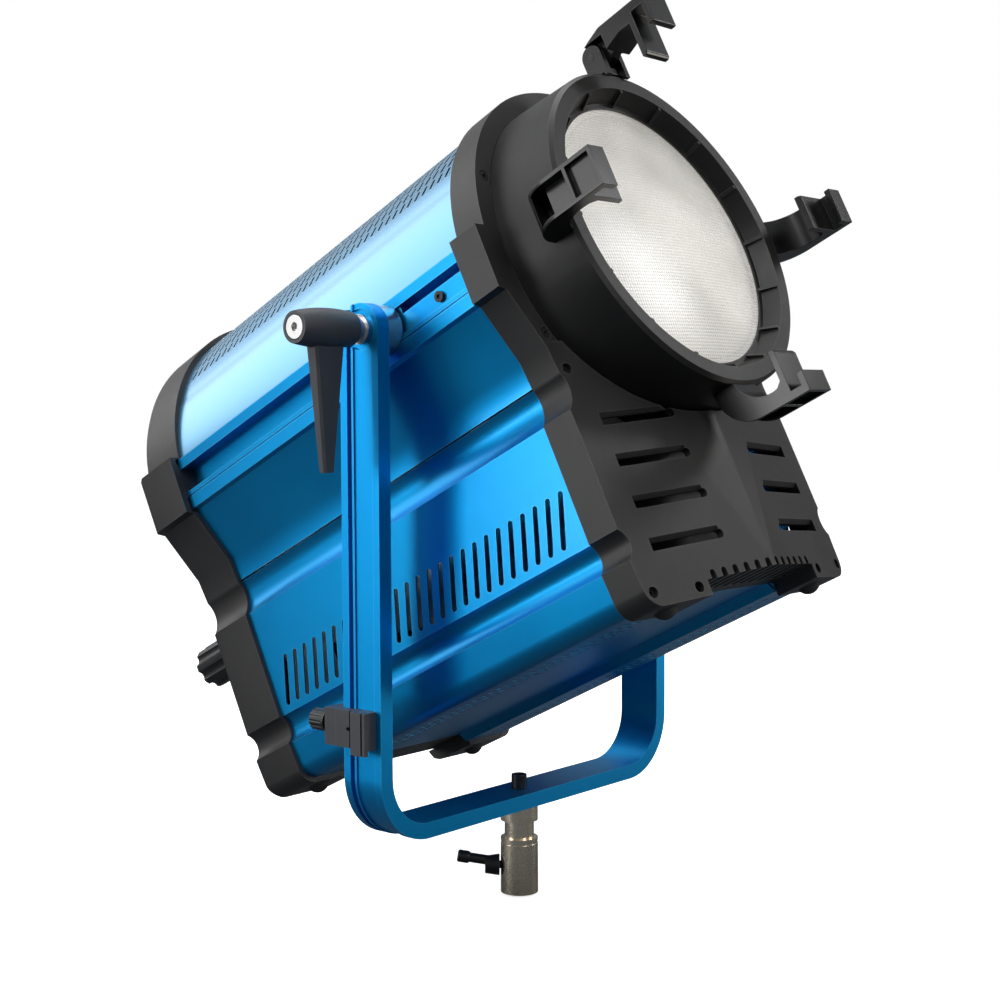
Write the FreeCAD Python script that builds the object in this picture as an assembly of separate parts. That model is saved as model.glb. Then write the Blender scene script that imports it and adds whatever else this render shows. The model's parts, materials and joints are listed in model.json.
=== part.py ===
"""Fresnel spotlight: an LED fresnel head that tilts in a flat-bar yoke on a stand spigot.

Row frame: millimetres, +Z up, the lamp looks along -Y and is tilted up at rest.  The origin is the
centre of the mouth of the 16 mm socket in the bottom of the spigot.

The head is drawn level, in its own frame, and then turned about the tilt axis.  A place in the head
is (x, s, h): x across the lamp, s forward along the lens axis and h up, all from the tilt axis.
"""
import FreeCAD, Part
import math
import os

V = FreeCAD.Vector

# ---------------------------------------------------------------- driving dimensions
# yoke
yoke_half_span = 167.3          # outside face of an arm
yoke_thickness = 11.4
yoke_width = 36.0
yoke_drop = 356.0               # tilt axis down to the underside of the cross bar
yoke_bend_radius = 48.0         # outside of the bend
yoke_channel_depth = 1.3
yoke_groove_depth = 3.2
# spigot
spigot_radius = 14.3            # 28.6 mm junior pin
spigot_length = 68.5
spigot_neck_radius = 11.3
spigot_collar_length = 12.7
spigot_neck_length = 13.3
socket_radius = 8.05            # takes a 16 mm stud
socket_depth = 36.0
lock_screw_height = 20.5
lock_screw_angle = 130.0
spigot_bolt_radius = 4.0
bolt_head_radius = 5.9
bolt_head_height = 11.0
lock_thread_radius = 3.0
lock_boss_length = 11.0
lock_arm_length = 26.0
lock_arm_rise = math.radians(9.0)
# pivots
pivot_radius = 5.0
bush_wall = 2.0
disc_radius = 17.0
lever_hub_radius = 13.4
lever_length = 96.0
lever_travel = 4.5              # pull-out travel that frees the lever to turn
# head
rest_tilt = 26.4
head_top_radius = 141.0
head_flat_half = 148.4          # half width of the castings beside the pivots
head_low_half = 124.5           # half width of the castings lower down
head_bottom = 253.0
head_corner_radius = 14.0
front_face = 109.0
front_rim_depth = 25.0
rear_face = -295.0
rear_rim_depth = 48.0
casting_wall = 5.0
skin_inset = 3.5
skin_wall = 2.5
prow_forward = 22.0
# lens
barrel_base_radius = 127.0
barrel_front_radius = 123.0
barrel_front = 163.0
barrel_mouth_radius = 110.0
lens_radius = 104.0
lens_front = 149.0
lens_edge = 5.0
lens_dome = 6.0
# barn-door brackets
ear_half_width = 13.7
ear_outer = 153.0
ear_hook_front = 213.0
ear_channel_gap = 8.4
ear_blade = 4.8
ear_channel_floor = 147.0
ear_wall = 2.9
ear_pocket_deep = 134.0
ear_pocket_floor = 144.0
# optics carriage
focus_lead_x = -95.5
focus_lead_h = -128.0
focus_screw_radius = 5.0
guide_rod_x = 108.0
guide_rod_h = -18.0
guide_rod_radius = 4.0
led_plane = 12.0                # light source in the middle of its travel
# fits
slip = 0.06                     # radial clearance of a shaft that turns or slides
gap = 0.3                       # air between pieces that pass each other

# ---------------------------------------------------------------- values that follow
tilt_height = spigot_length + yoke_drop
yoke_inner = yoke_half_span - yoke_thickness
front_rim_back = front_face - front_rim_depth
rear_rim_front = rear_face + rear_rim_depth
skin_length = front_rim_back - rear_rim_front
channel_front = ear_hook_front - ear_blade
channel_back = channel_front - ear_channel_gap
blade_back = channel_back - ear_blade
# accessory clamp on the near arm
clamp_low = 138.5
clamp_high = 164.5
clamp_front = -13.0             # along Y, just behind the front edge of the arm
clamp_face = -yoke_half_span
clamp_depth = 7.5
clamp_screw_height = (clamp_low + clamp_high) / 2
clamp_screw_x = -161.5
clamp_screw_radius = 3.5
jaw_start = yoke_width / 2 + 0.3
jaw_thickness = 11.0
knob_grips = 14
# tilt lever on the near arm
lever_seat = -(yoke_half_span - yoke_groove_depth)
lever_collar_length = 11.0
lever_hub_start = lever_seat - lever_collar_length
lever_hub_length = 51.0
lever_insert_radius = 8.2
lever_screw_seat = lever_hub_start - 45.2
lever_root = (27.0, 11.0)       # section of the blade at the hub, across and along the lamp
lever_tip = (9.5, 6.6)
# pivots in the head
slider_face = 139.0
slider_floor = 129.0
rail_half = 141.5
slider_screw_s = 54.0
slider_screw_h = -3.2
# castings
corner_screws = [(75.0, -246.0), (115.0, -243.0)]
shoulder_screws = [(113.5, -86.0)]
screw_sink = 3.5
screw_hole = 2.0 + slip
screw_well = 3.9
flange_screw_sink = 2.6
louvre_rows = [-125.0, -154.6, -184.2, -213.8]
louvre_inner = 38.5
louvre_outer = 102.0
louvre_height = 6.4
scoop_height = 3.6
scoop_depth = 3.2
comb_pitch = 10.7
comb_slot = 5.0
comb_count = 12
comb_height = 6.2
bottom_step = 10.6              # the bottom edge is raised between the corner blocks
block_inner = 66.0
prow_half = head_low_half - 1.0
prow_top = -66.0
prow_tip = front_face + prow_forward
step_line = -head_bottom + bottom_step
barrel_screw_places = [(118.9, 59.2), (118.9, -59.2)]
rear_screw_places = [(73.0, 103.5), (108.0, -232.0), (112.0, -60.0)]
rear_soft = 9.0                 # rounding of the rear edge
rear_opening = 10.5             # inset of the opening that the rear panel drops into
rear_flange = 18.0
groove_stop_inner = 126.5
rear_panel_s = rear_face + 5.0
panel_thickness = 3.0
flange_thickness = 4.0
controls = {"display": (0.0, -60.0), "intensity": (-34.0, -128.0), "colour": (34.0, -128.0),
            "switch": (78.0, -190.0), "inlet": (18.0, -190.0), "data": (-62.0, -190.0)}
knob_radius = 13.0
knob_length = 17.0
# skins
crease_x = 119.6
crease_h = 66.4
skin_top_radius = head_top_radius - skin_inset - 1.0
rail_top = 17.0
rail_bottom = -86.5
side_top = -88.0
skin_low_half = head_low_half - skin_inset
vent_lean = 22.0
vent_pitch = 11.9
vent_count = 26
base_half = 99.5
# lens end
lens_seat = lens_front - lens_edge
barrel_bore = 119.0
skirt_radius = lens_radius + 5.0
rib_count = 16
latch_pivot_s = 158.0
latch_pivot_r = 138.0
latch_pin_radius = 2.0
latch_hub_half = 5.0
latch_cheek_inner = 8.2
latch_cheek_outer = 13.0
latch_cheek_radius = 8.3
# chassis and optics
front_bulkhead_s = 74.0
rear_bulkhead_s = -238.0
bulkhead_thickness = 4.0
focus_knob_radius = 17.0
carriage_half = 100.0
sink_half = 58.0
sink_base = 8.0
sink_depth = 58.0
fin_count = 13
fan_depth = 25.0
plate_thickness = 4.0
plate_back = led_plane - 3.0 - plate_thickness
sink_back = plate_back - sink_depth
fan_back = sink_back - fan_depth
nodes = {}


# ---------------------------------------------------------------- helpers, row frame
def box(x0, x1, y0, y1, z0, z1):
    return Part.makeBox(x1 - x0, y1 - y0, z1 - z0, V(x0, y0, z0))


def rod(start, direction, radius, length):
    return Part.makeCylinder(radius, length, V(*start), V(*direction))


def washer(start, direction, outer, inner, length):
    return rod(start, direction, outer, length).cut(rod(start, direction, inner, length))


def group(shapes):
    return Part.makeCompound(shapes)


def polygon_face(points):
    return Part.Face(Part.makePolygon(points + [points[0]]))


# ---------------------------------------------------------------- helpers, head frame
def at(x, s, h):
    return V(x, -s, h)


def head_box(x0, x1, s0, s1, h0, h1):
    return box(x0, x1, -s1, -s0, h0, h1)


def head_rod(x, h, s0, s1, radius):
    return Part.makeCylinder(radius, s1 - s0, at(x, s1, h), V(0, 1, 0))


def head_tube(x, h, s0, s1, outer, inner):
    return head_rod(x, h, s0, s1, outer).cut(head_rod(x, h, s0, s1, inner))


def section_prism(face_at, s0, s1):
    """Extrudes a cross-section, given as a function of s, from s0 to s1."""
    return face_at(s0).extrude(at(0, s1 - s0, 0))


def lathe(profile):
    """A ring or disc about the lens axis, from (s, radius) points."""
    face = polygon_face([at(radius, s, 0) for s, radius in profile])
    return face.revolve(V(0, 0, 0), V(0, 1, 0), 360)


def around_lens(shape, degrees):
    """A copy of a shape turned about the lens axis; 0 is the top and 90 the near side."""
    copy = shape.copy()
    copy.rotate(V(0, 0, 0), V(0, 1, 0), -degrees)
    return copy


def mirrored(shape):
    return shape.mirror(V(0, 0, 0), V(1, 0, 0))


def chain_edges(steps, place):
    """Edges through two-number steps; a step of four numbers is an arc by way of the first two."""
    edges = []
    here = steps[0]
    for step in steps[1:]:
        start = place(*here[-2:])
        end = place(*step[-2:])
        if len(step) == 4:
            edges.append(Part.Arc(start, place(*step[:2]), end).toShape())
        else:
            edges.append(Part.LineSegment(start, end).toShape())
        here = step
    return edges


def edge_chain(steps, s):
    """Edges of a cross-section at s, through (x, h) steps."""
    return chain_edges(steps, lambda x, h: at(x, s, h))


def reversed_chain(steps):
    """The same chain, run from its end to its start."""
    result = []
    for index in range(len(steps) - 1, -1, -1):
        end = steps[index][-2:]
        if index + 1 < len(steps) and len(steps[index + 1]) == 4:
            result.append(steps[index + 1][:2] + end)
        else:
            result.append(end)
    return result


def flipped(steps):
    """The same chain on the other side of the lamp, run backwards."""
    result = []
    for step in reversed_chain(steps):
        result.append(tuple(-value if index % 2 == 0 else value for index, value in enumerate(step)))
    return result


def casting_side(inset):
    """Right-hand outline of a casting from the end of the top arc to the bottom line."""
    radius = head_top_radius - inset
    shoulder = 20.0
    low = head_low_half - inset
    corner = head_corner_radius - inset * 0.5
    corner_x = low - 2.0
    floor = -head_bottom + inset
    diagonal = corner * (1 - math.sqrt(0.5))
    return [
        (math.sqrt(radius ** 2 - shoulder ** 2), shoulder),
        (head_flat_half - inset, shoulder - inset * 0.4),
        (head_flat_half - inset, -26.0),
        (head_flat_half - 6.6 - inset, -28.0),
        (low - 1.0, -69.0),
        (low - 3.0, -88.0),
        (low - 6.4, -101.5, low, -114.5),
        (low, -198.5),
        (low - 6.2, -208.5, low - 0.5, -219.5),
        (corner_x, floor + corner),
        (corner_x - diagonal, floor + diagonal, corner_x - corner, floor),
    ]


def casting_face(inset, s):
    side = casting_side(inset)
    back = flipped(side)
    top = (0.0, head_top_radius - inset)
    edges = edge_chain(side, s)
    edges += edge_chain([side[-1], back[0]], s)
    edges += edge_chain(back, s)
    edges += edge_chain([back[-1], top + side[0]], s)
    return Part.Face(Part.Wire(edges))


def casting_prism(inset, s0, s1):
    return section_prism(lambda s: casting_face(inset, s), s0, s1)


def strip(steps, inner_steps, s0, s1):
    """A wall between an outer chain and an inner chain that runs the other way."""
    def face_at(s):
        edges = edge_chain(steps, s)
        edges += edge_chain([steps[-1][-2:], inner_steps[0][-2:]], s)
        edges += edge_chain(inner_steps, s)
        edges += edge_chain([inner_steps[-1][-2:], steps[0][-2:]], s)
        return Part.Face(Part.Wire(edges))
    return section_prism(face_at, s0, s1)


def slot(x0, x1, s, h, width, length, lean=0.0):
    """A round-ended slot cut across x, long in h and leaning forward at the top."""
    half = (length - width) / 2
    radius = width / 2
    body = head_box(x0, x1, s - radius, s + radius, h - half, h + half)
    for end in (h - half, h + half):
        body = body.fuse(Part.makeCylinder(radius, x1 - x0, at(x0, s, end), V(1, 0, 0)))
    body.rotate(at(0, s, h), V(1, 0, 0), lean)
    return body


# ---------------------------------------------------------------- yoke
def yoke_wire(inset, y):
    half = yoke_half_span - inset
    low = spigot_length + inset
    high = tilt_height + yoke_width
    radius = yoke_bend_radius - inset
    shift = radius * (1 - math.sqrt(0.5))
    points = [
        (half, high), (half, low + radius), (half - shift, low + shift), (half - radius, low),
        (-half + radius, low), (-half + shift, low + shift), (-half, low + radius), (-half, high),
    ]
    corner = [V(x, y, z) for x, z in points]
    return [
        Part.LineSegment(corner[0], corner[1]).toShape(),
        Part.Arc(corner[1], corner[2], corner[3]).toShape(),
        Part.LineSegment(corner[3], corner[4]).toShape(),
        Part.Arc(corner[4], corner[5], corner[6]).toShape(),
        Part.LineSegment(corner[6], corner[7]).toShape(),
    ]


def yoke_band(outer_inset, inner_inset, y0, y1):
    """The U between two insets from the outside face, from y0 to y1."""
    outer = yoke_wire(outer_inset, y0)
    inner = yoke_wire(inner_inset, y0)
    high = tilt_height + yoke_width
    ends = []
    for side in (1, -1):
        start = V(side * (yoke_half_span - outer_inset), y0, high)
        end = V(side * (yoke_half_span - inner_inset), y0, high)
        ends.append(Part.LineSegment(start, end).toShape())
    wire = Part.Wire(Part.__sortEdges__(outer + inner + ends))
    return Part.Face(wire).extrude(V(0, y1 - y0, 0))


def make_yoke():
    half = yoke_width / 2
    bar = yoke_band(0, yoke_thickness, -half, half)
    # the outside of the extrusion: a shallow channel and a deeper groove beside a thin ridge
    bar = bar.cut(yoke_band(-1, yoke_channel_depth, -0.33 * yoke_width, 0.16 * yoke_width))
    bar = bar.cut(yoke_band(-1, yoke_groove_depth, 0.21 * yoke_width, 0.33 * yoke_width))
    keep = box(-400, 400, -half, half, 0, tilt_height)
    keep = keep.fuse(rod((-400, 0, tilt_height), (1, 0, 0), half, 800))
    bar = bar.common(keep)
    bar = bar.cut(rod((-400, 0, tilt_height), (1, 0, 0), pivot_radius + bush_wall, 800))
    bar = bar.cut(rod((0, 0, 0), (0, 0, 1), spigot_bolt_radius + 0.2, 200))
    spot_face = 14.0
    for side in (1, -1):
        start = side * (yoke_half_span + 1)
        flat = rod((start, 0, tilt_height), (-side, 0, 0), spot_face, 1 + yoke_groove_depth)
        bar = bar.cut(flat)
    return bar


def make_yoke_bushes():
    seat = yoke_half_span - yoke_groove_depth
    shapes = []
    for side in (1, -1):
        start = (side * yoke_inner, 0, tilt_height)
        length = seat - yoke_inner
        shapes.append(washer(start, (side, 0, 0), pivot_radius + bush_wall, pivot_radius + slip, length))
    return group(shapes)


def make_spigot():
    collar_low = spigot_length - spigot_collar_length
    neck_low = collar_low - spigot_neck_length
    lip = 2.2
    shape = rod((0, 0, collar_low), (0, 0, 1), spigot_radius, spigot_collar_length)
    shape = shape.fuse(rod((0, 0, neck_low), (0, 0, 1), spigot_neck_radius, spigot_neck_length))
    shape = shape.fuse(rod((0, 0, 0), (0, 0, 1), spigot_radius, neck_low))
    shape = shape.cut(washer((0, 0, neck_low - 2 * lip), (0, 0, 1), spigot_radius + 1, spigot_radius - 0.5, lip))
    shape = shape.cut(rod((0, 0, 0), (0, 0, 1), socket_radius, socket_depth))
    shape = shape.cut(rod((0, 0, socket_depth), (0, 0, 1), spigot_bolt_radius, spigot_length))
    outward = lock_direction()
    hole = Part.makeCylinder(lock_thread_radius + slip, spigot_radius + 5, V(0, 0, lock_screw_height), outward)
    return shape.removeSplitter().cut(hole)


def lock_direction():
    turn = math.radians(lock_screw_angle)
    return V(math.cos(turn), math.sin(turn), 0)


def make_lock_screw():
    """Lever screw: thread, tapered boss and an offset arm that ends in a thicker grip."""
    outward = lock_direction()
    centre = V(0, 0, lock_screw_height)
    boss_start = spigot_radius + 1.0
    shape = Part.makeCylinder(lock_thread_radius, 12.0, centre + outward * (socket_radius + 0.4), outward)
    shape = shape.fuse(Part.makeCone(8.2, 6.6, lock_boss_length, centre + outward * boss_start, outward))
    arm_start = centre + outward * (boss_start + 4.0) + V(0, 0, 2.6)
    arm = outward * math.cos(lock_arm_rise) + V(0, 0, math.sin(lock_arm_rise))
    shape = shape.fuse(Part.makeCylinder(3.7, lock_arm_length, arm_start, arm))
    grip_start = arm_start + arm * (lock_arm_length - 7.0)
    grip = Part.makeCylinder(4.7, 9.5, grip_start, arm)
    return shape.fuse(grip.makeFillet(1.6, grip.Edges)).removeSplitter()


def make_spigot_bolt():
    """Cap screw through the yoke into the top of the spigot."""
    seat = spigot_length + yoke_thickness
    head = rod((0, 0, seat), (0, 0, 1), bolt_head_radius, bolt_head_height)
    head = head.cut(rod((0, 0, seat + bolt_head_height / 2), (0, 0, 1), 3.2, bolt_head_height))
    shank_low = socket_depth + 6.0
    return head.fuse(rod((0, 0, shank_low), (0, 0, 1), spigot_bolt_radius, seat - shank_low))


# ---------------------------------------------------------------- accessory clamp on the near arm


def make_clamp_block():
    """Block on the outside of the arm, with a tongue in the arm's shallow channel."""
    outside = clamp_face - clamp_depth
    block = box(outside, clamp_face, clamp_front, jaw_start, clamp_low, clamp_high)
    column = box(outside - 3.5, outside, clamp_front, clamp_front + 13.5, clamp_low - 3.5, clamp_high)
    block = block.fuse(column)
    block = block.fuse(box(clamp_face, clamp_face + yoke_channel_depth, -11.7, 5.6, clamp_low, clamp_high))
    for y in (clamp_front + 2.2, clamp_front + 16.5):
        block = block.cut(box(outside - 4, outside + 2.0, y, y + 1.6, clamp_low - 5, clamp_high + 1))
    hole = rod((outside - 1, clamp_front + 19.5, clamp_screw_height), (1, 0, 0), 1.5, 5.0)
    return block.cut(hole).removeSplitter()


def make_clamp_jaw():
    """Jaw behind the arm, which the thumb screw passes through."""
    jaw_end = jaw_start + jaw_thickness
    jaw = box(clamp_face - clamp_depth, clamp_screw_x + 7.5, jaw_start, jaw_end, clamp_low, clamp_high)
    thread = rod((clamp_screw_x, jaw_start - 1, clamp_screw_height), (0, 1, 0), clamp_screw_radius + slip, 40)
    return jaw.cut(thread)


def make_clamp_thumb_screw():
    """Thumb screw that presses on the back edge of the arm."""
    neck_start = jaw_start + jaw_thickness + 0.5
    head_start = neck_start + 8.0
    grip_start = head_start + 2.0
    shape = rod((clamp_screw_x, jaw_start, clamp_screw_height), (0, 1, 0), clamp_screw_radius, 20.0)
    shape = shape.fuse(rod((clamp_screw_x, neck_start, clamp_screw_height), (0, 1, 0), 5.8, 10.0))
    shape = shape.fuse(rod((clamp_screw_x, head_start, clamp_screw_height), (0, 1, 0), 7.8, 14.0))
    for index in range(knob_grips):
        turn = 2 * math.pi * index / knob_grips
        x = clamp_screw_x + 8.5 * math.cos(turn)
        z = clamp_screw_height + 8.5 * math.sin(turn)
        shape = shape.cut(rod((x, grip_start, z), (0, 1, 0), 1.2, 15.0))
    return shape.removeSplitter()


# ---------------------------------------------------------------- tilt lever on the near arm


def make_lever_stud():
    """Turning stud: the shaft through the arm, a waisted steel collar and the toothed insert."""
    inner_end = -(yoke_inner - 34.0)
    shape = rod((lever_seat, 0, tilt_height), (1, 0, 0), pivot_radius, inner_end - lever_seat)
    shape = shape.fuse(rod((lever_seat, 0, tilt_height), (-1, 0, 0), 10.2, 4.0))
    shape = shape.fuse(rod((lever_seat, 0, tilt_height), (-1, 0, 0), 8.6, lever_collar_length))
    insert = rod((lever_hub_start, 0, tilt_height), (-1, 0, 0), lever_insert_radius, 20.0)
    shape = shape.fuse(insert)
    shape = shape.fuse(rod((lever_hub_start - 20, 0, tilt_height), (-1, 0, 0), 3.0, 25.0))
    return shape.removeSplitter()


def make_lever_screw():
    """Cap screw in the end of the insert, which keeps the lever and its spring on."""
    shape = rod((lever_screw_seat, 0, tilt_height), (-1, 0, 0), 8.0, 5.4)
    return shape.cut(rod((lever_screw_seat - 2.4, 0, tilt_height), (-1, 0, 0), 2.8, 4.0))


def make_lever_spring():
    """Coil spring under the screw head, as its outer envelope when the lever is pulled out."""
    shoulder = lever_hub_start - 25.8 - lever_travel - gap
    spring_end = lever_screw_seat + gap
    return washer((shoulder, 0, tilt_height), (-1, 0, 0), 6.2, 4.4, shoulder - spring_end)


def blade_wire(x, z, size):
    """Outline of the lever's blade at height z, with its corners cut off."""
    half_x = size[0] / 2
    half_y = size[1] / 2
    cut = 1.6
    corners = [(half_x - cut, half_y), (half_x, half_y - cut), (half_x, cut - half_y), (half_x - cut, -half_y),
               (cut - half_x, -half_y), (-half_x, cut - half_y), (-half_x, half_y - cut), (cut - half_x, half_y)]
    points = [V(x + dx, dy, z) for dx, dy in corners]
    return Part.makePolygon(points + [points[0]])


def make_lever_handle():
    """Barrel-shaped hub with a blade that tapers to its tip."""
    start = lever_hub_start - 0.4
    end = start - lever_hub_length + 0.8
    middle = (start + end) / 2
    axis = V(start, 0, tilt_height)
    swell = Part.Arc(V(start, 0, tilt_height + 11.6), V(middle, 0, tilt_height + lever_hub_radius),
                     V(end, 0, tilt_height + 10.8)).toShape()
    sides = Part.makePolygon([V(end, 0, tilt_height + 10.8), V(end, 0, tilt_height), axis,
                              V(start, 0, tilt_height + 11.6)])
    hub = Part.Face(Part.Wire([swell] + sides.Edges)).revolve(axis, V(1, 0, 0), 360)
    blade_x = start - 22.5
    tip_z = tilt_height - lever_length
    wires = [blade_wire(blade_x, tilt_height - 8.0, lever_root), blade_wire(blade_x, tip_z, lever_tip)]
    lever = hub.fuse(Part.makeLoft(wires, True, True))
    for radius, first, last in ((lever_insert_radius + 0.25, -1.0, 24.0), (3.3, 23.0, 26.0),
                                (7.0, 25.4, 46.0), (8.4, 40.0, 60.0)):
        lever = lever.cut(rod((start - first, 0, tilt_height), (-1, 0, 0), radius, last - first))
    return lever.removeSplitter()


# ---------------------------------------------------------------- pivots in the head


def make_pivot_slider():
    """Bar in the side rail's groove, which carries the pivot; near side."""
    bar = head_box(-slider_face, -slider_floor, -32.0, front_rim_back, -9.8, 3.4)
    wide = head_box(-slider_face, -slider_floor, -18.0, 18.0, -9.8, 8.8)
    hole = Part.makeCylinder(pivot_radius + slip, 60, at(-180, 0, 0), V(1, 0, 0))
    screw = Part.makeCylinder(screw_hole, 60, at(-180, slider_screw_s, slider_screw_h), V(1, 0, 0))
    return bar.fuse(wide).removeSplitter().cut(hole).cut(screw)


def make_pivot_disc():
    start = at(-yoke_inner + 0.3, 0, 0)
    length = yoke_inner - 0.3 - slider_face
    disc = Part.makeCylinder(disc_radius, yoke_inner - 0.3 - rail_half, start, V(1, 0, 0))
    disc = disc.fuse(Part.makeCylinder(8.5, length, start, V(1, 0, 0)))
    return disc.cut(Part.makeCylinder(pivot_radius + slip, length, start, V(1, 0, 0)))


def make_pivot_plate():
    """Nut plate inside the rail."""
    plate = head_box(-126.0, -121.0, -28.0, 28.0, -20.0, 16.0)
    return plate.cut(Part.makeCylinder(pivot_radius + slip, 20, at(-130, 0, 0), V(1, 0, 0)))


def make_far_bolt():
    """Plain pivot bolt on the far side, with a domed cap outside the arm."""
    seat = yoke_half_span - yoke_groove_depth + 0.3
    inner_end = 118.0
    bolt = Part.makeCylinder(pivot_radius, seat - inner_end, at(inner_end, 0, 0), V(1, 0, 0))
    bolt = bolt.fuse(Part.makeCylinder(10.5, 6.0, at(seat, 0, 0), V(1, 0, 0)))
    bolt = bolt.cut(Part.makeCylinder(3.2, 4.0, at(seat + 3.0, 0, 0), V(1, 0, 0)))
    return bolt


# ---------------------------------------------------------------- castings


def prow_face_s(x):
    """Where the front of the prow is, |x| from the middle."""
    return front_face + prow_forward * (1 - abs(x) / prow_half)


def prow_solid(back, low, high, half, drop):
    """Wedge-shaped block under the barrel, from s = back; drop sets its faces back."""
    points = [at(-half, back, low), at(-half, front_face - drop, low), at(0, prow_tip - drop, low),
              at(half, front_face - drop, low), at(half, back, low)]
    return polygon_face(points).extrude(V(0, 0, high - low))


def louvre_cut(row, side):
    """Window with a square outer end, and the scoop over it that leads the air in."""
    half = louvre_height / 2
    ends = sorted((side * louvre_inner, side * louvre_outer))
    cut = head_box(ends[0], ends[1], front_rim_back, prow_tip + 1, row - half, row + half)
    cut = cut.fuse(head_rod(side * louvre_inner, row, front_rim_back, prow_tip + 1, half))
    wedge = []
    for rise, sink in ((0.0, -1.0), (0.0, scoop_depth), (scoop_height, -1.0)):
        wedge.append(at(side * louvre_inner, prow_face_s(louvre_inner) - sink, row + half + rise))
    along = at(side * (louvre_outer - louvre_inner), prow_face_s(louvre_outer) - prow_face_s(louvre_inner), 0)
    return cut.fuse(polygon_face(wedge).extrude(along))


def comb_cut(index):
    """One notch of the comb in the prow's lower edge, open at the front and below."""
    x = (index - (comb_count - 1) / 2) * comb_pitch
    half = comb_slot / 2
    top = step_line + comb_height - half
    cut = head_box(x - half, x + half, front_face - 14, prow_tip + 1, step_line - 3, top)
    return cut.fuse(head_rod(x, top, front_face - 14, prow_tip + 1, half))


def make_front_casting():
    """Front moulding: rim, prow with its louvres and comb, and the corner blocks."""
    back = front_rim_back
    shell = casting_prism(0, back, front_face)
    shell = shell.cut(casting_prism(casting_wall, back - 1, front_face - casting_wall))
    shell = shell.fuse(prow_solid(front_face - casting_wall, -head_bottom, prow_top, prow_half, 0.0))
    shell = shell.cut(prow_solid(back, step_line + 4, prow_top - 4, prow_half - 6.0, casting_wall + 0.01))
    shell = shell.cut(head_rod(0, 0, back - 1, prow_tip + 1, barrel_base_radius + 0.4))
    for side in (1, -1):
        for row in louvre_rows:
            shell = shell.cut(louvre_cut(row, side))
    shell = shell.cut(head_box(-block_inner, block_inner, back - 1, prow_tip + 1, -head_bottom - 1, step_line))
    shell = shell.fuse(bottom_bridge(back, front_face))
    for index in range(comb_count):
        shell = shell.cut(comb_cut(index))
    for x, h in screw_places(corner_screws + shoulder_screws):
        shell = shell.fuse(head_rod(x, h, back + 2, front_face - 2, 6.4))
        shell = shell.cut(head_rod(x, h, back, prow_tip, screw_hole))
        shell = shell.cut(head_rod(x, h, front_face - screw_sink, prow_tip, screw_well))
    for x, h in screw_places(barrel_screw_places):
        shell = shell.cut(head_rod(x, h, back, front_face + 2, screw_hole))
        shell = shell.cut(head_rod(x, h, front_face - flange_screw_sink, front_face + 2, 4.4))
    shell = shell.cut(casting_trim(back - 1, prow_tip + 2))
    return shell.removeSplitter()


def casting_trim(s0, s1):
    """What lies outside the casting's outline, to shave bosses that stand through it."""
    slab = head_box(-200, 200, s0, s1, -300, 200)
    keep = casting_prism(0, s0 - 1, s1 + 1)
    return slab.cut(keep)


def screw_places(places):
    result = []
    for x, h in places:
        result += [(x, h), (-x, h)]
    return result


def casing_screw(x, h, seat, length):
    """Countersunk button screw whose head stands in front of its seat; a negative length faces rearwards."""
    sign = 1 if length > 0 else -1
    face = seat + sign * 2.4
    head = head_rod(x, h, min(seat, face), max(seat, face), 3.8)
    recess = face - sign * 1.4
    head = head.cut(head_rod(x, h, min(face, recess), max(face, recess), 1.6))
    tail = seat - length
    return head.fuse(head_rod(x, h, min(seat, tail), max(seat, tail), 2.0))


def make_casing_screws():
    shapes = []
    for x, h in screw_places(corner_screws + shoulder_screws):
        shapes.append(casing_screw(x, h, front_face - screw_sink, 18.0))
    for x, h in screw_places(barrel_screw_places):
        shapes.append(casing_screw(x, h, front_face - flange_screw_sink, 6.2))
    for x, h in screw_places(rear_screw_places):
        shapes.append(casing_screw(x, h, rear_panel_s, -6.0))
    sideways = casing_screw(0, slider_screw_h, slider_face, 14.0)
    for side in (1, -1):
        screw = sideways.copy()
        screw.rotate(V(0, 0, 0), V(0, 0, 1), side * 90)
        screw.translate(at(0, slider_screw_s, 0))
        shapes.append(screw)
    return group(shapes)


def make_rear_casting():
    front = rear_rim_front
    seat = rear_panel_s + panel_thickness
    hollow = seat + flange_thickness
    shell = casting_prism(0, rear_face + rear_soft, front)
    outer = casting_face(0, rear_face + rear_soft).OuterWire
    middle = casting_face(rear_soft * 0.32, rear_face + rear_soft * 0.35).OuterWire
    small = casting_face(rear_soft, rear_face).OuterWire
    shell = shell.fuse(Part.makeLoft([outer, middle, small], True, True))
    shell = shell.cut(casting_prism(casting_wall, hollow, front + 1))
    shell = shell.cut(casting_prism(rear_opening, rear_face - 1, seat))
    shell = shell.cut(casting_prism(rear_flange, seat - 1, hollow + 1))
    shell = shell.cut(head_box(-block_inner, block_inner, rear_face - 1, front + 1,
                               -head_bottom - 1, -head_bottom + bottom_step))
    shell = shell.fuse(bottom_bridge(hollow, front))
    stop = head_box(-head_flat_half + 2, -groove_stop_inner, front - 3.0, front - gap, -14.0, 13.0)
    shell = shell.fuse(stop).fuse(mirrored(stop))
    for x, h in screw_places(rear_screw_places):
        shell = shell.cut(head_rod(x, h, seat - 1, hollow + 1, screw_hole))
    return shell.removeSplitter()


def bottom_bridge(s0, s1):
    """Raised floor between the corner blocks of a casting, with the blocks' inner walls."""
    floor = head_box(-block_inner - casting_wall, block_inner + casting_wall, s0, s1,
                     -head_bottom + bottom_step, -head_bottom + bottom_step + 4)
    for side in (1, -1):
        near = side * block_inner
        far = side * (block_inner + casting_wall)
        floor = floor.fuse(head_box(min(near, far), max(near, far), s0, s1,
                                    -head_bottom, -head_bottom + bottom_step + 4))
    return floor


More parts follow.
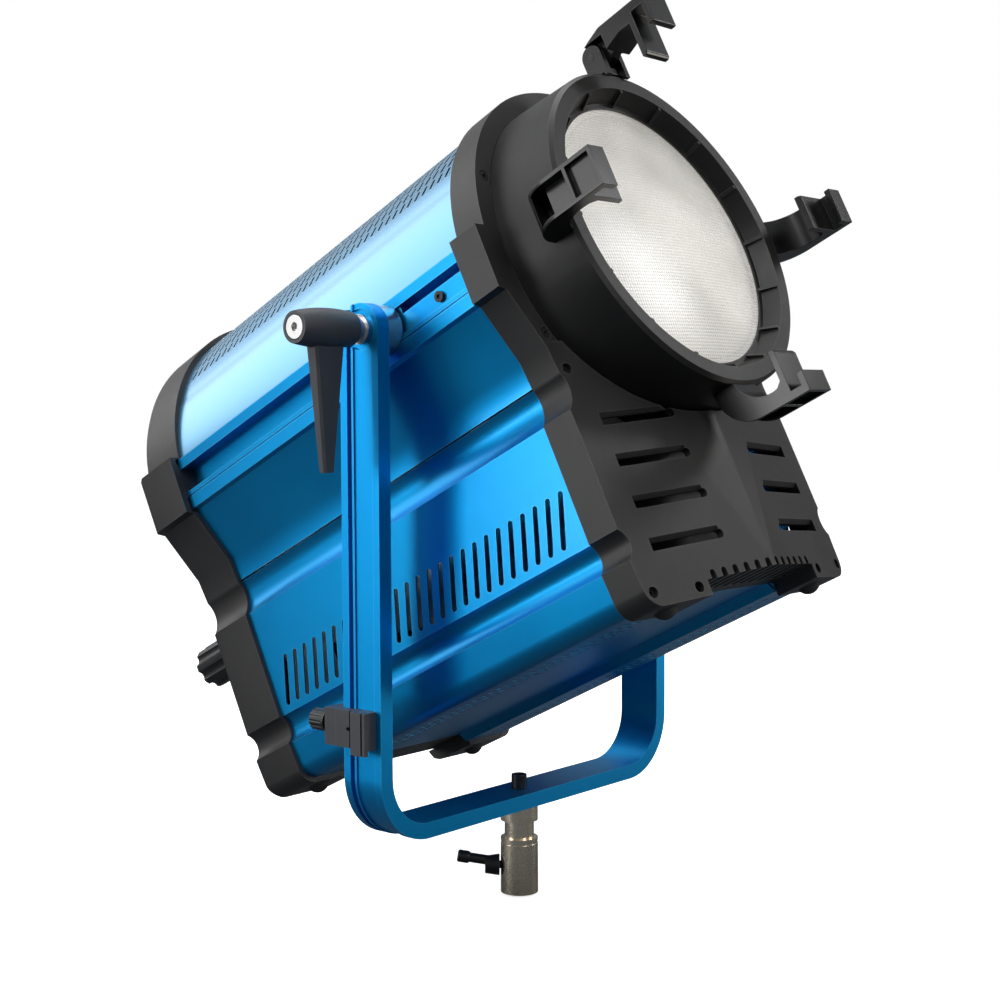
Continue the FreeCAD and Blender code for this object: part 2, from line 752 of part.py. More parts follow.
def make_rear_panel():
    """Flat panel inside the rear casting, with vents, control holes and the knob bushes' holes."""
    s0 = rear_panel_s
    s1 = rear_panel_s + panel_thickness
    panel = casting_prism(rear_opening + gap, s0, s1)
    for row in range(6):
        h = 96.0 - row * 18.0
        reach = math.sqrt(max(0.0, 112.0 ** 2 - h ** 2))
        count = int(reach // 16)
        for index in range(-count, count + 1):
            x = index * 15.5
            vent = head_box(x - 5.0, x + 5.0, s0 - 1, s1 + 1, h - 2.5, h + 2.5)
            panel = panel.cut(vent)
    x, h = controls["display"]
    panel = panel.cut(head_box(x - 36, x + 36, s0 - 1, s1 + 1, h - 17, h + 17))
    for name in ("intensity", "colour"):
        x, h = controls[name]
        panel = panel.cut(head_rod(x, h, s0 - 1, s1 + 1, 3.5 + slip))
    x, h = controls["switch"]
    panel = panel.cut(head_box(x - 11, x + 11, s0 - 1, s1 + 1, h - 15, h + 15))
    x, h = controls["inlet"]
    panel = panel.cut(head_box(x - 14.5, x + 14.5, s0 - 1, s1 + 1, h - 11, h + 11))
    x, h = controls["data"]
    for offset in (-18.0, 18.0):
        panel = panel.cut(head_rod(x + offset, h, s0 - 1, s1 + 1, 11.0))
    for x, h in screw_places(rear_screw_places):
        panel = panel.cut(head_rod(x, h, s0 - 1, s1 + 1, screw_hole))
    return panel.cut(head_rod(focus_lead_x, focus_lead_h, s0 - 1, s1 + 1, 8.0))


def make_display():
    x, h = controls["display"]
    s0 = rear_panel_s - 2.0
    frame = head_box(x - 40, x + 40, s0, rear_panel_s, h - 21, h + 21)
    frame = frame.cut(head_box(x - 33, x + 33, s0 - 1, rear_panel_s + 1, h - 14, h + 14))
    return frame.fuse(head_box(x - 35.7, x + 35.7, rear_panel_s, rear_panel_s + 8, h - 16.7, h + 16.7)
                      .cut(head_box(x - 33, x + 33, rear_panel_s - 1, rear_panel_s + 4, h - 14, h + 14)))


def make_display_glass():
    x, h = controls["display"]
    return head_box(x - 32.9, x + 32.9, rear_panel_s - 1.2, rear_panel_s + 1.6, h - 13.9, h + 13.9)


def make_inlet():
    """Appliance inlet: a rim, a body behind the panel and a well with three blades."""
    x, h = controls["inlet"]
    rim = head_box(x - 18, x + 18, rear_panel_s - 2.5, rear_panel_s, h - 14, h + 14)
    body = head_box(x - 14.2, x + 14.2, rear_panel_s, rear_panel_s + 22, h - 10.7, h + 10.7)
    shape = rim.fuse(body)
    shape = shape.cut(head_box(x - 12, x + 12, rear_panel_s - 3, rear_panel_s + 16, h - 8, h + 8))
    for offset, rise in ((-7.0, -1.5), (0.0, 2.0), (7.0, -1.5)):
        shape = shape.fuse(head_box(x + offset - 1, x + offset + 1, rear_panel_s + 2, rear_panel_s + 17,
                                    h + rise - 2, h + rise + 2))
    return shape


def make_data_sockets():
    x, h = controls["data"]
    shapes = []
    for offset in (-18.0, 18.0):
        ring = head_rod(x + offset, h, rear_panel_s - 3, rear_panel_s, 13.0)
        body = head_rod(x + offset, h, rear_panel_s, rear_panel_s + 18, 10.7)
        shape = ring.fuse(body)
        shape = shape.cut(head_rod(x + offset, h, rear_panel_s - 4, rear_panel_s + 12, 9.0))
        shapes.append(shape.fuse(head_rod(x + offset, h, rear_panel_s + 1, rear_panel_s + 13, 5.2)))
    return group(shapes)


def make_switch_frame():
    x, h = controls["switch"]
    frame = head_box(x - 13.5, x + 13.5, rear_panel_s - 2, rear_panel_s, h - 17.5, h + 17.5)
    frame = frame.fuse(head_box(x - 10.8, x + 10.8, rear_panel_s, rear_panel_s + 14, h - 14.8, h + 14.8))
    well = head_box(x - 9.0, x + 9.0, rear_panel_s - 3, rear_panel_s + 12, h - 13, h + 13)
    frame = frame.cut(well)
    return frame.cut(Part.makeCylinder(1.5 + slip, 30, at(x - 15, rear_panel_s + 3, h), V(1, 0, 0)))


def make_switch_rocker():
    x, h = controls["switch"]
    pivot = rear_panel_s + 3
    points = [at(x - 8.6, pivot + 3, h - 9.5), at(x - 8.6, rear_panel_s - 5.0, h - 11.8),
              at(x - 8.6, rear_panel_s - 1.2, h), at(x - 8.6, rear_panel_s + 0.5, h + 11.8),
              at(x - 8.6, pivot + 3, h + 9.5)]
    rocker = polygon_face(points).extrude(V(17.2, 0, 0))
    return rocker.fuse(Part.makeCylinder(1.5, 21.0, at(x - 10.5, pivot, h), V(1, 0, 0)))


def make_knob(x, h, radius, length, shaft_radius, shaft_end):
    """Fluted knob with a skirt, on its own shaft."""
    start = rear_panel_s - 1.0
    shape = head_rod(x, h, start - length, start, radius)
    flutes = 10
    for index in range(flutes):
        turn = 2 * math.pi * index / flutes
        flute_x = x + (radius + 1.6) * math.cos(turn)
        flute_h = h + (radius + 1.6) * math.sin(turn)
        shape = shape.cut(head_rod(flute_x, flute_h, start - length - 1, start - 4.0, 3.1))
    return shape.fuse(head_rod(x, h, start, shaft_end, shaft_radius)).removeSplitter()


# ---------------------------------------------------------------- skins


def make_top_shell():
    """One bent sheet: a perforated crown, a crease on each side and a plain shoulder below it."""
    wall = skin_wall
    foot = 137.0
    way = (130.6, 43.5)
    right = [(crease_x, crease_h), way + (foot, rail_top)]
    left = flipped(right)
    outer = [left[0]] + left[1:] + [(0.0, skin_top_radius) + right[0]] + right[1:]
    in_right = [(crease_x - wall * 0.9, crease_h - wall * 0.4),
                (way[0] - wall, way[1] - 0.5, foot - wall, rail_top)]
    in_left = flipped(in_right)
    inner = in_left + [(0.0, skin_top_radius - wall) + in_right[0]] + in_right[1:]
    return strip(outer, reversed_chain(inner), rear_rim_front, front_rim_back)


def make_rail():
    """Side rail with the groove for the pivot slider; far side."""
    outer = [(rail_half, rail_top), (rail_half, 9.0), (slider_floor, 9.0), (slider_floor, -10.0),
             (rail_half, -10.0), (rail_half, -24.0), (138.0, -26.0), (119.5, -68.0), (118.0, rail_bottom)]
    inner = [(115.0, rail_bottom), (116.5, -67.3), (132.8, -30.5), (126.0, -22.0), (126.0, rail_top)]
    rail = strip(outer, inner, rear_rim_front, front_rim_back)
    rail = rail.cut(head_box(rail_half - 0.8, rail_half + 1, -400, 400, -14.6, -13.4))
    hole = Part.makeCylinder(pivot_radius + 1.0, 40, at(120, 0, 0), V(1, 0, 0))
    screw = Part.makeCylinder(screw_hole, 40, at(120, slider_screw_s, slider_screw_h), V(1, 0, 0))
    return rail.cut(hole).cut(screw)


def side_chain(wall):
    half = skin_low_half - wall
    corner = 12.5 - wall
    centre_x = half - 2.0 - corner
    centre_h = -head_bottom + skin_inset + wall + corner
    reach = corner * math.sqrt(0.5)
    return [
        (half - 3.0, side_top),
        (half - 6.2, -101.5, half, -114.5),
        (half, -198.5),
        (half - 6.0, -208.5, half - 0.3, -219.5),
        (half - 2.0, centre_h),
        (centre_x + reach, centre_h - reach, centre_x, centre_h - corner),
        (base_half + gap, centre_h - corner),
    ]


def make_side_panel():
    """Pressed side panel with two hollow waves, a row of leaning vents and the bottom corner."""
    inner = reversed_chain(side_chain(skin_wall))
    panel = strip(side_chain(0.0), inner, rear_rim_front, front_rim_back)
    for index in range(vent_count):
        s = front_rim_back - 16.0 - index * vent_pitch
        panel = panel.cut(slot(skin_low_half - 6, skin_low_half + 4, s, -175.0, 3.6, 38.0, vent_lean))
    return panel


def make_base_panel():
    """Bottom cover, with a raised channel along the middle."""
    low = -head_bottom + skin_inset
    high = low + 7.0
    inner = 58.0
    steps = [(base_half, low), (inner + 5, low), (inner, high), (-inner, high), (-inner - 5, low),
             (-base_half, low)]
    back = [(-base_half, low + skin_wall), (-inner - 6, low + skin_wall), (-inner - 1, high + skin_wall),
            (inner + 1, high + skin_wall), (inner + 6, low + skin_wall), (base_half, low + skin_wall)]
    return strip(steps, back, rear_rim_front, front_rim_back)


def make_feet():
    shapes = []
    for s in (front_rim_back + 12.5, rear_rim_front - 20.0):
        for side in (1, -1):
            foot = Part.makeSphere(9.0, at(side * 90.0, s, -head_bottom + 3.6))
            keep = head_box(-200, 200, -400, 400, -head_bottom - 10, -head_bottom)
            shapes.append(foot.common(keep))
    return group(shapes)


# ---------------------------------------------------------------- lens end
def barrel_radius(s):
    share = (s - front_face) / (barrel_front - front_face)
    return barrel_base_radius + (barrel_front_radius - barrel_base_radius) * share


def make_barrel():
    lip_radius = lens_radius - 3.0
    profile = [
        (front_face - 9.0, barrel_base_radius + 7.0),
        (front_face - casting_wall, barrel_base_radius + 7.0),
        (front_face - casting_wall, barrel_base_radius),
        (front_face, barrel_base_radius),
        (barrel_front - 2.5, barrel_radius(barrel_front - 2.5)),
        (barrel_front, barrel_front_radius - 2.5),
        (barrel_front, barrel_mouth_radius),
        (lens_front + 1.5, lens_radius + 1.0),
        (lens_front + 1.5, lip_radius),
        (lens_front + 0.2, lip_radius),
        (lens_front + 0.2, lens_radius + 0.3),
        (lens_seat - 8.0, lens_radius + 0.3),
        (lens_seat - 8.0, skirt_radius),
        (barrel_front - 7.0, skirt_radius + 4.5),
        (barrel_front - 7.0, barrel_bore - 1.0),
        (front_face - 9.0, barrel_bore + 3.0),
    ]
    shape = lathe(profile)
    rib = [(barrel_front - 0.6, barrel_mouth_radius + 1), (barrel_front - 0.6, barrel_mouth_radius - 2.2),
           (lens_front + 1.5, lens_radius - 2.0), (lens_front + 1.5, lens_radius + 4)]
    rib_face = polygon_face([at(0, s, radius) for s, radius in rib])
    rib_solid = rib_face.extrude(V(2.4, 0, 0))
    rib_solid.translate(V(-1.2, 0, 0))
    for index in range(rib_count):
        shape = shape.fuse(around_lens(rib_solid, 360.0 * index / rib_count))
    for x, h in screw_places(barrel_screw_places):
        shape = shape.cut(head_rod(x, h, front_face - 30, front_face - casting_wall + 0.01, screw_hole))
    return shape.removeSplitter()


def make_lens():
    """Moulded lens: a flat rear face, a stepped zone outside and a dome inside it."""
    profile = [(lens_seat, 0.0), (lens_seat, lens_radius), (lens_front, lens_radius),
               (lens_front, lens_radius - 8.0)]
    steps = 12
    for index in range(1, steps):
        radius = (lens_radius - 8.0) * (1 - index / steps)
        rise = lens_dome * math.cos(math.pi / 2 * radius / (lens_radius - 8.0))
        profile.append((lens_front + rise, radius))
    profile.append((lens_front + lens_dome, 0.0))
    return lathe(profile)


def make_gasket():
    return lathe([(lens_seat - 2.0, lens_radius - 7.0), (lens_seat - 2.0, lens_radius),
                  (lens_seat, lens_radius), (lens_seat, lens_radius - 7.0)])


def make_retainer():
    """Flanged ring that holds the gasket and the lens against the barrel's lip."""
    back = lens_seat - 2.0
    flange = lens_seat - 8.2
    return lathe([(flange - 3.0, lens_radius - 7.0), (flange - 3.0, skirt_radius),
                  (flange, skirt_radius), (flange, lens_radius - 0.1),
                  (back, lens_radius - 0.1), (back, lens_radius - 7.0)])


def ear_solid(profile, half_width):
    face = polygon_face([at(-half_width, s, radius) for s, radius in profile])
    return face.extrude(V(2 * half_width, 0, 0))


def barrel_plug():
    return lathe([(front_face, 0), (front_face, barrel_base_radius),
                  (barrel_front, barrel_front_radius), (barrel_front, 0)])


def make_ear():
    """Bracket that holds the barn doors: two cheeks from the barrel, blade, channel and hook."""
    top = ear_outer
    outline = [
        (144.0, 118.0), (145.0, 128.0), (152.5, 144.5, 173.0, top), (ear_hook_front, top),
        (ear_hook_front, top - 15.0), (channel_front, top - 14.5), (channel_front, ear_channel_floor),
        (channel_back, ear_channel_floor), (channel_back, 118.5), (channel_back - 1.6, 116.0),
        (blade_back, 116.0), (blade_back, 137.5), (blade_back - 4.0, 141.0),
        (174.0, 138.5, 164.5, 129.0), (160.0, 118.0), (144.0, 118.0),
    ]
    face = Part.Face(Part.Wire(chain_edges(outline, lambda s, r: at(-ear_half_width, s, r))))
    ear = face.extrude(V(2 * ear_half_width, 0, 0))
    inside = ear_half_width - ear_wall
    ear = ear.cut(head_box(-inside, inside, 156.0, 166.0, ear_pocket_deep, top + 10))
    ear = ear.cut(head_box(-inside, inside, 165.0, 188.0, ear_pocket_floor, top + 10))
    ear = ear.cut(head_box(-inside, inside, 191.0, ear_hook_front - 3.0, top - 4.0, top + 10))
    return ear.cut(barrel_plug()).removeSplitter()


def make_latch():
    """Top bracket, sprung shut: lift its nose and the barn doors come out."""
    top = ear_outer
    front = ear_hook_front + 2.0
    gap_front = front - ear_blade
    gap_back = gap_front - ear_channel_gap - 1.0
    profile = [
        (146.0, 136.5), (146.0, 143.0), (160.0, 149.0), (172.0, top), (front, top), (front, 130.0),
        (gap_front, 130.0), (gap_front, 146.0), (gap_back, 146.0), (gap_back, 114.5),
        (gap_back - 1.6, 112.6), (gap_back - ear_blade, 112.6), (gap_back - ear_blade, 139.5),
        (186.0, 139.5), (172.0, 135.0), (166.0, 132.0), (154.0, 132.0),
    ]
    body = ear_solid(profile, ear_half_width)
    # room for the cheeks and springs beside the hub
    for side in (1, -1):
        inner = side * latch_hub_half
        outer = side * (ear_half_width + 1)
        low_x = min(inner, outer)
        high_x = max(inner, outer)
        body = body.cut(head_box(low_x, high_x, 140.0, 172.0, 120.0, 147.0))
    body = body.cut(head_box(-20, 20, 140.0, 156.0, 120.0, latch_pivot_r - 4.5))
    body = body.cut(Part.makeCylinder(latch_pin_radius + slip, 40, at(-20, latch_pivot_s, latch_pivot_r), V(1, 0, 0)))
    inside = ear_half_width - ear_wall
    pocket = head_box(-inside, inside, 175.0, 191.0, 145.0, 160.0)
    pocket = pocket.fuse(head_box(-inside, inside, 194.0, front - 3.0, top - 4.0, 160.0))
    return body.cut(pocket).removeSplitter()


def make_latch_post():
    post = head_box(-latch_cheek_outer, latch_cheek_outer, 148.0, 162.5, 118.0, 128.5)
    for side in (1, -1):
        low_x = min(side * latch_cheek_inner, side * latch_cheek_outer)
        high_x = max(side * latch_cheek_inner, side * latch_cheek_outer)
        post = post.fuse(head_box(low_x, high_x, latch_pivot_s - latch_cheek_radius,
                                  latch_pivot_s + latch_cheek_radius, 120.0, latch_pivot_r))
        post = post.fuse(Part.makeCylinder(latch_cheek_radius, latch_cheek_outer - latch_cheek_inner,
                                           at(low_x, latch_pivot_s, latch_pivot_r), V(1, 0, 0)))
    post = post.cut(Part.makeCylinder(latch_pin_radius, 40, at(-20, latch_pivot_s, latch_pivot_r), V(1, 0, 0)))
    return post.cut(barrel_plug()).removeSplitter()


def make_latch_pin():
    length = 2 * latch_cheek_outer + 0.6
    return Part.makeCylinder(latch_pin_radius, length, at(-length / 2, latch_pivot_s, latch_pivot_r), V(1, 0, 0))


def make_latch_spring():
    """Torsion springs on each side of the hub, as coil envelopes."""
    shapes = []
    width = latch_cheek_inner - latch_hub_half - 0.8
    for side in (1, -1):
        low_x = side * (latch_hub_half + 0.4) if side > 0 else -(latch_hub_half + 0.4 + width)
        coil = Part.makeCylinder(3.9, width, at(low_x, latch_pivot_s, latch_pivot_r), V(1, 0, 0))
        shapes.append(coil.cut(Part.makeCylinder(2.4, width, at(low_x, latch_pivot_s, latch_pivot_r), V(1, 0, 0))))
    return group(shapes)


# ---------------------------------------------------------------- chassis and optics
def bulkhead_blank(s0, s1):
    crown = head_rod(0, 0, s0, s1, 131.0).common(head_box(-125.6, 125.6, s0, s1, -20.0, 140.0))
    return crown.fuse(head_box(-111.0, 111.0, s0, s1, -236.0, -20.0)).removeSplitter()


def rod_places():
    return [(guide_rod_x, guide_rod_h), (-guide_rod_x, guide_rod_h)]


def make_front_bulkhead():
    s0 = front_bulkhead_s
    s1 = s0 + bulkhead_thickness
    plate = bulkhead_blank(s0, s1).cut(head_rod(0, 0, s0 - 1, s1 + 1, lens_radius - 2))
    for x, h in rod_places():
        plate = plate.cut(head_rod(x, h, s0 - 1, s1 + 1, guide_rod_radius))
    for side in (1, -1):
        ends = sorted((side * 14.0, side * 78.0))
        plate = plate.cut(head_box(ends[0], ends[1], s0 - 1, s1 + 1, -228.0, -214.0))
    return plate.cut(head_rod(focus_lead_x, focus_lead_h, s0 - 1, s1 + 1, focus_screw_radius + slip))


def make_rear_bulkhead():
    s0 = rear_bulkhead_s
    s1 = s0 + bulkhead_thickness
    plate = bulkhead_blank(s0, s1).cut(head_rod(0, 0, s0 - 1, s1 + 1, 70.0))
    for x, h in rod_places():
        plate = plate.cut(head_rod(x, h, s0 - 1, s1 + 1, guide_rod_radius))
    plate = plate.cut(head_box(-60, 60, s0 - 1, s1 + 1, -215.0, -150.0))
    return plate.cut(head_rod(focus_lead_x, focus_lead_h, s0 - 1, s1 + 1, focus_screw_radius + slip))


def make_guide_rods():
    return group([head_rod(x, h, rear_bulkhead_s, front_bulkhead_s + bulkhead_thickness, guide_rod_radius)
                  for x, h in rod_places()])


def make_lead_screw():
    """Lead screw from the front bulkhead to the focus knob."""
    front = front_bulkhead_s + bulkhead_thickness
    shape = head_rod(focus_lead_x, focus_lead_h, rear_panel_s - 1.0, front, focus_screw_radius)
    for s in (rear_bulkhead_s + bulkhead_thickness + 0.3, front_bulkhead_s - 2.3):
        shape = shape.fuse(head_rod(focus_lead_x, focus_lead_h, s, s + 2.0, 8.0))
    return shape.removeSplitter()


def make_focus_bush():
    bush = head_tube(focus_lead_x, focus_lead_h, rear_panel_s, rear_panel_s + 8, 8.0, focus_screw_radius + slip)
    flange = head_tube(focus_lead_x, focus_lead_h, rear_panel_s + panel_thickness, rear_panel_s + 5.5, 11.0,
                       focus_screw_radius + slip)
    return bush.fuse(flange).removeSplitter()


def make_focus_knob():
    start = rear_panel_s - 1.2
    length = 44.8
    shape = head_rod(focus_lead_x, focus_lead_h, start - 8.0, start, 9.0)
    grip = head_rod(focus_lead_x, focus_lead_h, start - length, start - 8.0, focus_knob_radius)
    lobes = 8
    for index in range(lobes):
        turn = 2 * math.pi * (index + 0.5) / lobes
        x = focus_lead_x + (focus_knob_radius + 2.2) * math.cos(turn)
        h = focus_lead_h + (focus_knob_radius + 2.2) * math.sin(turn)
        grip = grip.cut(head_rod(x, h, start - length - 1, start - 11.0, 4.6))
    return shape.fuse(grip).removeSplitter()


def make_carriage_plate():
    s0 = plate_back
    s1 = s0 + plate_thickness
    plate = head_box(-carriage_half, carriage_half, s0, s1, -62.0, 62.0)
    for side in (1, -1):
        x0 = min(side * 92.0, side * 118.0)
        plate = plate.fuse(head_box(x0, x0 + 26.0, s0, s1, guide_rod_h - 12, guide_rod_h + 12))
    plate = plate.fuse(head_box(focus_lead_x - 9, focus_lead_x + 16, s0, s1, focus_lead_h - 12, -50.0))
    for x, h in rod_places():
        plate = plate.cut(head_rod(x, h, s0 - 1, s1 + 1, 7.0))
    plate = plate.cut(head_rod(focus_lead_x, focus_lead_h, s0 - 1, s1 + 1, 7.5))
    return plate.removeSplitter()


def make_carriage_bushes():
    shapes = []
    for x, h in rod_places():
        sleeve = head_tube(x, h, plate_back - 14, plate_back + 10, 7.0, guide_rod_radius + slip)
        shapes.append(sleeve)
    return group(shapes)


def make_lead_nut():
    nut = head_tube(focus_lead_x, focus_lead_h, plate_back - 10, plate_back + 8, 7.5, focus_screw_radius + slip)
    flange = head_tube(focus_lead_x, focus_lead_h, plate_back - 3, plate_back, 11.0, focus_screw_radius + slip)
    return nut.fuse(flange).removeSplitter()


def make_led_board():
    board = head_box(-45, 45, led_plane - 3.0, led_plane - 1.0, -45, 45)
    return board.fuse(head_rod(0, 0, led_plane - 1.0, led_plane + 1.4, 24.0))


def make_heat_sink():
    base = head_box(-sink_half, sink_half, plate_back - sink_base, plate_back, -sink_half, sink_half)
    pitch = (2 * sink_half - 3.0) / (fin_count - 1)
    for index in range(fin_count):
        x = -sink_half + index * pitch
        base = base.fuse(head_box(x, x + 3.0, sink_back, plate_back - sink_base, -sink_half, sink_half))
    return base.removeSplitter()


def make_fan_frame():
    frame = head_box(-60, 60, fan_back, sink_back, -60, 60)
    frame = frame.cut(head_rod(0, 0, fan_back - 1, sink_back + 1, 56.5))
    hub = head_rod(0, 0, fan_back, fan_back + 4.0, 20.0)
    for index in range(3):
        arm = head_box(-3.5, 3.5, fan_back, fan_back + 4.0, 10.0, 58.5)
        hub = hub.fuse(around_lens(arm, 45 + 120 * index))
    pin = head_rod(0, 0, fan_back + 4.0, fan_back + 18.0, 2.0)
    return frame.fuse(hub).fuse(pin).removeSplitter()


def make_fan_rotor():
    hub = head_rod(0, 0, fan_back + 5.0, fan_back + 22.0, 19.0)
    blades = 7
    for index in range(blades):
        blade = head_box(-10.0, 10.0, fan_back + 12.4, fan_back + 14.2, 17.0, 54.5)
        blade.rotate(at(0, fan_back + 13.3, 0), V(0, 0, 1), 28.0)
        hub = hub.fuse(around_lens(blade, 360.0 * index / blades))
    return hub.cut(head_rod(0, 0, fan_back + 4.0, fan_back + 18.4, 2.0 + slip)).removeSplitter()


def make_power_supply():
    return head_box(-72, 72, -196.0, -62.0, -236.0, -190.0)


def make_driver_board():
    board = head_box(-60, 60, -40.0, 58.0, -228.0, -226.0)
    parts = [(-40, -20, 18), (-10, -20, 24), (25, -22, 12), (-42, 20, 10), (0, 18, 16), (35, 20, 20)]
    for x, s, height in parts:
        board = board.fuse(head_box(x - 9, x + 9, s - 9, s + 9, -226.0, -226.0 + height))
    for x in (-50, 50):
        for s in (-34, 52):
            board = board.fuse(head_rod_up(x, s, -240.0, -228.0, 3.0))
    return board


def head_rod_up(x, s, h0, h1, radius):
    return Part.makeCylinder(radius, h1 - h0, at(x, s, h0), V(0, 0, 1))


# ---------------------------------------------------------------- build
def add_yoke_side():
    nodes["yoke_bar"] = make_yoke()
    nodes["yoke_bushes"] = make_yoke_bushes()
    nodes["stand_spigot"] = make_spigot()
    nodes["spigot_bolt"] = make_spigot_bolt()
    nodes["spigot_lock_screw"] = make_lock_screw()
    nodes["clamp_block"] = make_clamp_block()
    nodes["clamp_jaw"] = make_clamp_jaw()
    nodes["clamp_thumb_screw"] = make_clamp_thumb_screw()
    nodes["lever_stud"] = make_lever_stud()
    nodes["lever_screw"] = make_lever_screw()
    nodes["lever_spring"] = make_lever_spring()
    nodes["lever_handle"] = make_lever_handle()


def head_shapes():
    shapes = {
        "front_casting": make_front_casting(),
        "casing_screws": make_casing_screws(),
        "lens_barrel": make_barrel(),
        "fresnel_lens": make_lens(),
        "lens_gasket": make_gasket(),
        "lens_retainer": make_retainer(),
        "latch_bracket": make_latch(),
        "latch_post": make_latch_post(),
        "latch_pin": make_latch_pin(),
        "latch_springs": make_latch_spring(),
        "rear_casting": make_rear_casting(),
        "rear_panel": make_rear_panel(),
        "display_frame": make_display(),
        "display_glass": make_display_glass(),
        "power_inlet": make_inlet(),
        "data_sockets": make_data_sockets(),
        "switch_frame": make_switch_frame(),
        "switch_rocker": make_switch_rocker(),
        "top_shell": make_top_shell(),
        "base_panel": make_base_panel(),
        "feet": make_feet(),
        "pivot_bolt_far": make_far_bolt(),
        "front_bulkhead": make_front_bulkhead(),
        "rear_bulkhead": make_rear_bulkhead(),
        "guide_rods": make_guide_rods(),
        "lead_screw": make_lead_screw(),
        "focus_bush": make_focus_bush(),
        "focus_knob": make_focus_knob(),
        "carriage_plate": make_carriage_plate(),
        "carriage_bushes": make_carriage_bushes(),
        "lead_nut": make_lead_nut(),
        "led_board": make_led_board(),
        "heat_sink": make_heat_sink(),
        "fan_frame": make_fan_frame(),
        "fan_rotor": make_fan_rotor(),
        "power_supply": make_power_supply(),
        "driver_board": make_driver_board(),
    }
    ear = make_ear()
    for name, degrees in (("ear_near", 90), ("ear_far", 270), ("ear_lower", 180)):
        shapes[name] = around_lens(ear, degrees)
    for name in ("intensity", "colour"):
        x, h = controls[name]
        shapes[name + "_knob"] = make_knob(x, h, knob_radius, knob_length, 3.5, rear_panel_s + 14)
    near_slider = make_pivot_slider()
    shapes["pivot_sliders"] = group([near_slider, mirrored(near_slider)])
    shapes["pivot_discs"] = group([make_pivot_disc(), mirrored(make_pivot_disc())])
    shapes["pivot_plates"] = group([make_pivot_plate(), mirrored(make_pivot_plate())])
    rail = make_rail()
    shapes["side_rails"] = group([rail, mirrored(rail)])
    panel = make_side_panel()
    shapes["side_panel_far"] = panel
    shapes["side_panel_near"] = mirrored(panel)
    return shapes


def add_head():
    for name, shape in head_shapes().items():
        shape.rotate(V(0, 0, 0), V(1, 0, 0), -rest_tilt)
        shape.translate(V(0, 0, tilt_height))
        nodes[name] = shape


os.makedirs("parts", exist_ok=True)
add_yoke_side()
add_head()
for node_name, node_shape in nodes.items():
    node_shape.exportStep("parts/" + node_name + ".step")
    print(node_name, len(node_shape.Solids), round(node_shape.Volume / 1000.0, 1), node_shape.isValid())
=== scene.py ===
# %% [markdown]
# # A fresnel spotlight, dressed for its portrait
#
# The lamp is a vented blue aluminium housing between two black mouldings, with a big stippled lens in
# a barrel at the front. It hangs in a flat aluminium yoke that stands on a nickel spigot. The packed
# model already holds every part at its true size and place, so this lesson adds what a bench model
# leaves out: rounded edges, punched and waved sheet, a lens with rings, and finishes that look right.
#
# Everything is in metres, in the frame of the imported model. The head is tilted, so the first cells
# also make a small tool that lets us model head pieces level and then set them into the head.

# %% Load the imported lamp
import json
import math

import bmesh
import bpy
from mathutils import Matrix, Vector

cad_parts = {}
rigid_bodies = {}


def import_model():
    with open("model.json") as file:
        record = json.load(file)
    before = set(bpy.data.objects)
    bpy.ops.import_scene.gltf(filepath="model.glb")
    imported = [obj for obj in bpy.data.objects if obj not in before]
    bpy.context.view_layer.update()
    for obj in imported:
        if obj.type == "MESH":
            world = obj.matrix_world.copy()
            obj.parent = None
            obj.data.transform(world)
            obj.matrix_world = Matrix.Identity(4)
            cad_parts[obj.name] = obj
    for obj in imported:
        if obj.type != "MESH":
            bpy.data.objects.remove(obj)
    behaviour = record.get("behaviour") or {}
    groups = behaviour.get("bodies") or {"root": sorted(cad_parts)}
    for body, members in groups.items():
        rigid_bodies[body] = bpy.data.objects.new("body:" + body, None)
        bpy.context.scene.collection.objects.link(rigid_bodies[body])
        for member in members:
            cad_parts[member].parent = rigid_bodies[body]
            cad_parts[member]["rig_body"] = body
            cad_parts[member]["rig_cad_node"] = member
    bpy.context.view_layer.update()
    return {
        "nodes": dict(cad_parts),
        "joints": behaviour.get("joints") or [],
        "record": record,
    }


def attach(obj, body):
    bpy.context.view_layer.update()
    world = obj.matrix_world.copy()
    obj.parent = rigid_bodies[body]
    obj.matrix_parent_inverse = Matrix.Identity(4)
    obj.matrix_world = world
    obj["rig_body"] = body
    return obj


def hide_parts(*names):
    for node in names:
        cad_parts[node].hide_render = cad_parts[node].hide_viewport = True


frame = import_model()
joints = {joint["name"]: joint for joint in frame["joints"]}
print("nodes:", len(frame["nodes"]), "joints:", len(joints))

# %% [markdown]
# ## The head's own frame
#
# The focus carriage slides along the lens axis, so that joint's axis says which way the lamp looks.
# The tilt joint says where the head turns. From those two we build one matrix: a piece is modelled
# with x across the lamp, -y forward and z up, measured from the tilt axis, and the matrix seats it.
# Working in a level frame is what a maker does when a part is held in a jig instead of in mid-air.

# %% Head matrix
MM = 0.001
tilt_centre = Vector(joints["tilt"]["pos_m"])
look = Vector(joints["focus_slide"]["axis"])
tilt_angle = math.atan2(look.z, -look.y)
HEAD = Matrix.Translation(tilt_centre) @ Matrix.Rotation(-tilt_angle, 4, "X")
HEAD_INVERSE = HEAD.inverted()


def head_extent(node):
    """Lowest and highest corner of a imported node, measured in the level head frame, in metres."""
    points = [HEAD_INVERSE @ v.co for v in frame["nodes"][node].data.vertices]
    low = Vector(min(p[i] for p in points) for i in range(3))
    high = Vector(max(p[i] for p in points) for i in range(3))
    return low, high


lens_radius = head_extent("fresnel_lens")[1].x
print("tilt", round(math.degrees(tilt_angle), 1), "lens radius", round(lens_radius, 4))

# %% [markdown]
# ## Bench tools
#
# Blender's operators act on whatever is selected, so each tool starts from a clean selection. The
# helpers below are the moves we use again and again: start a primitive, pick faces by a rule, apply a
# modifier, smooth the shading, and hand a finished piece over to the frame.

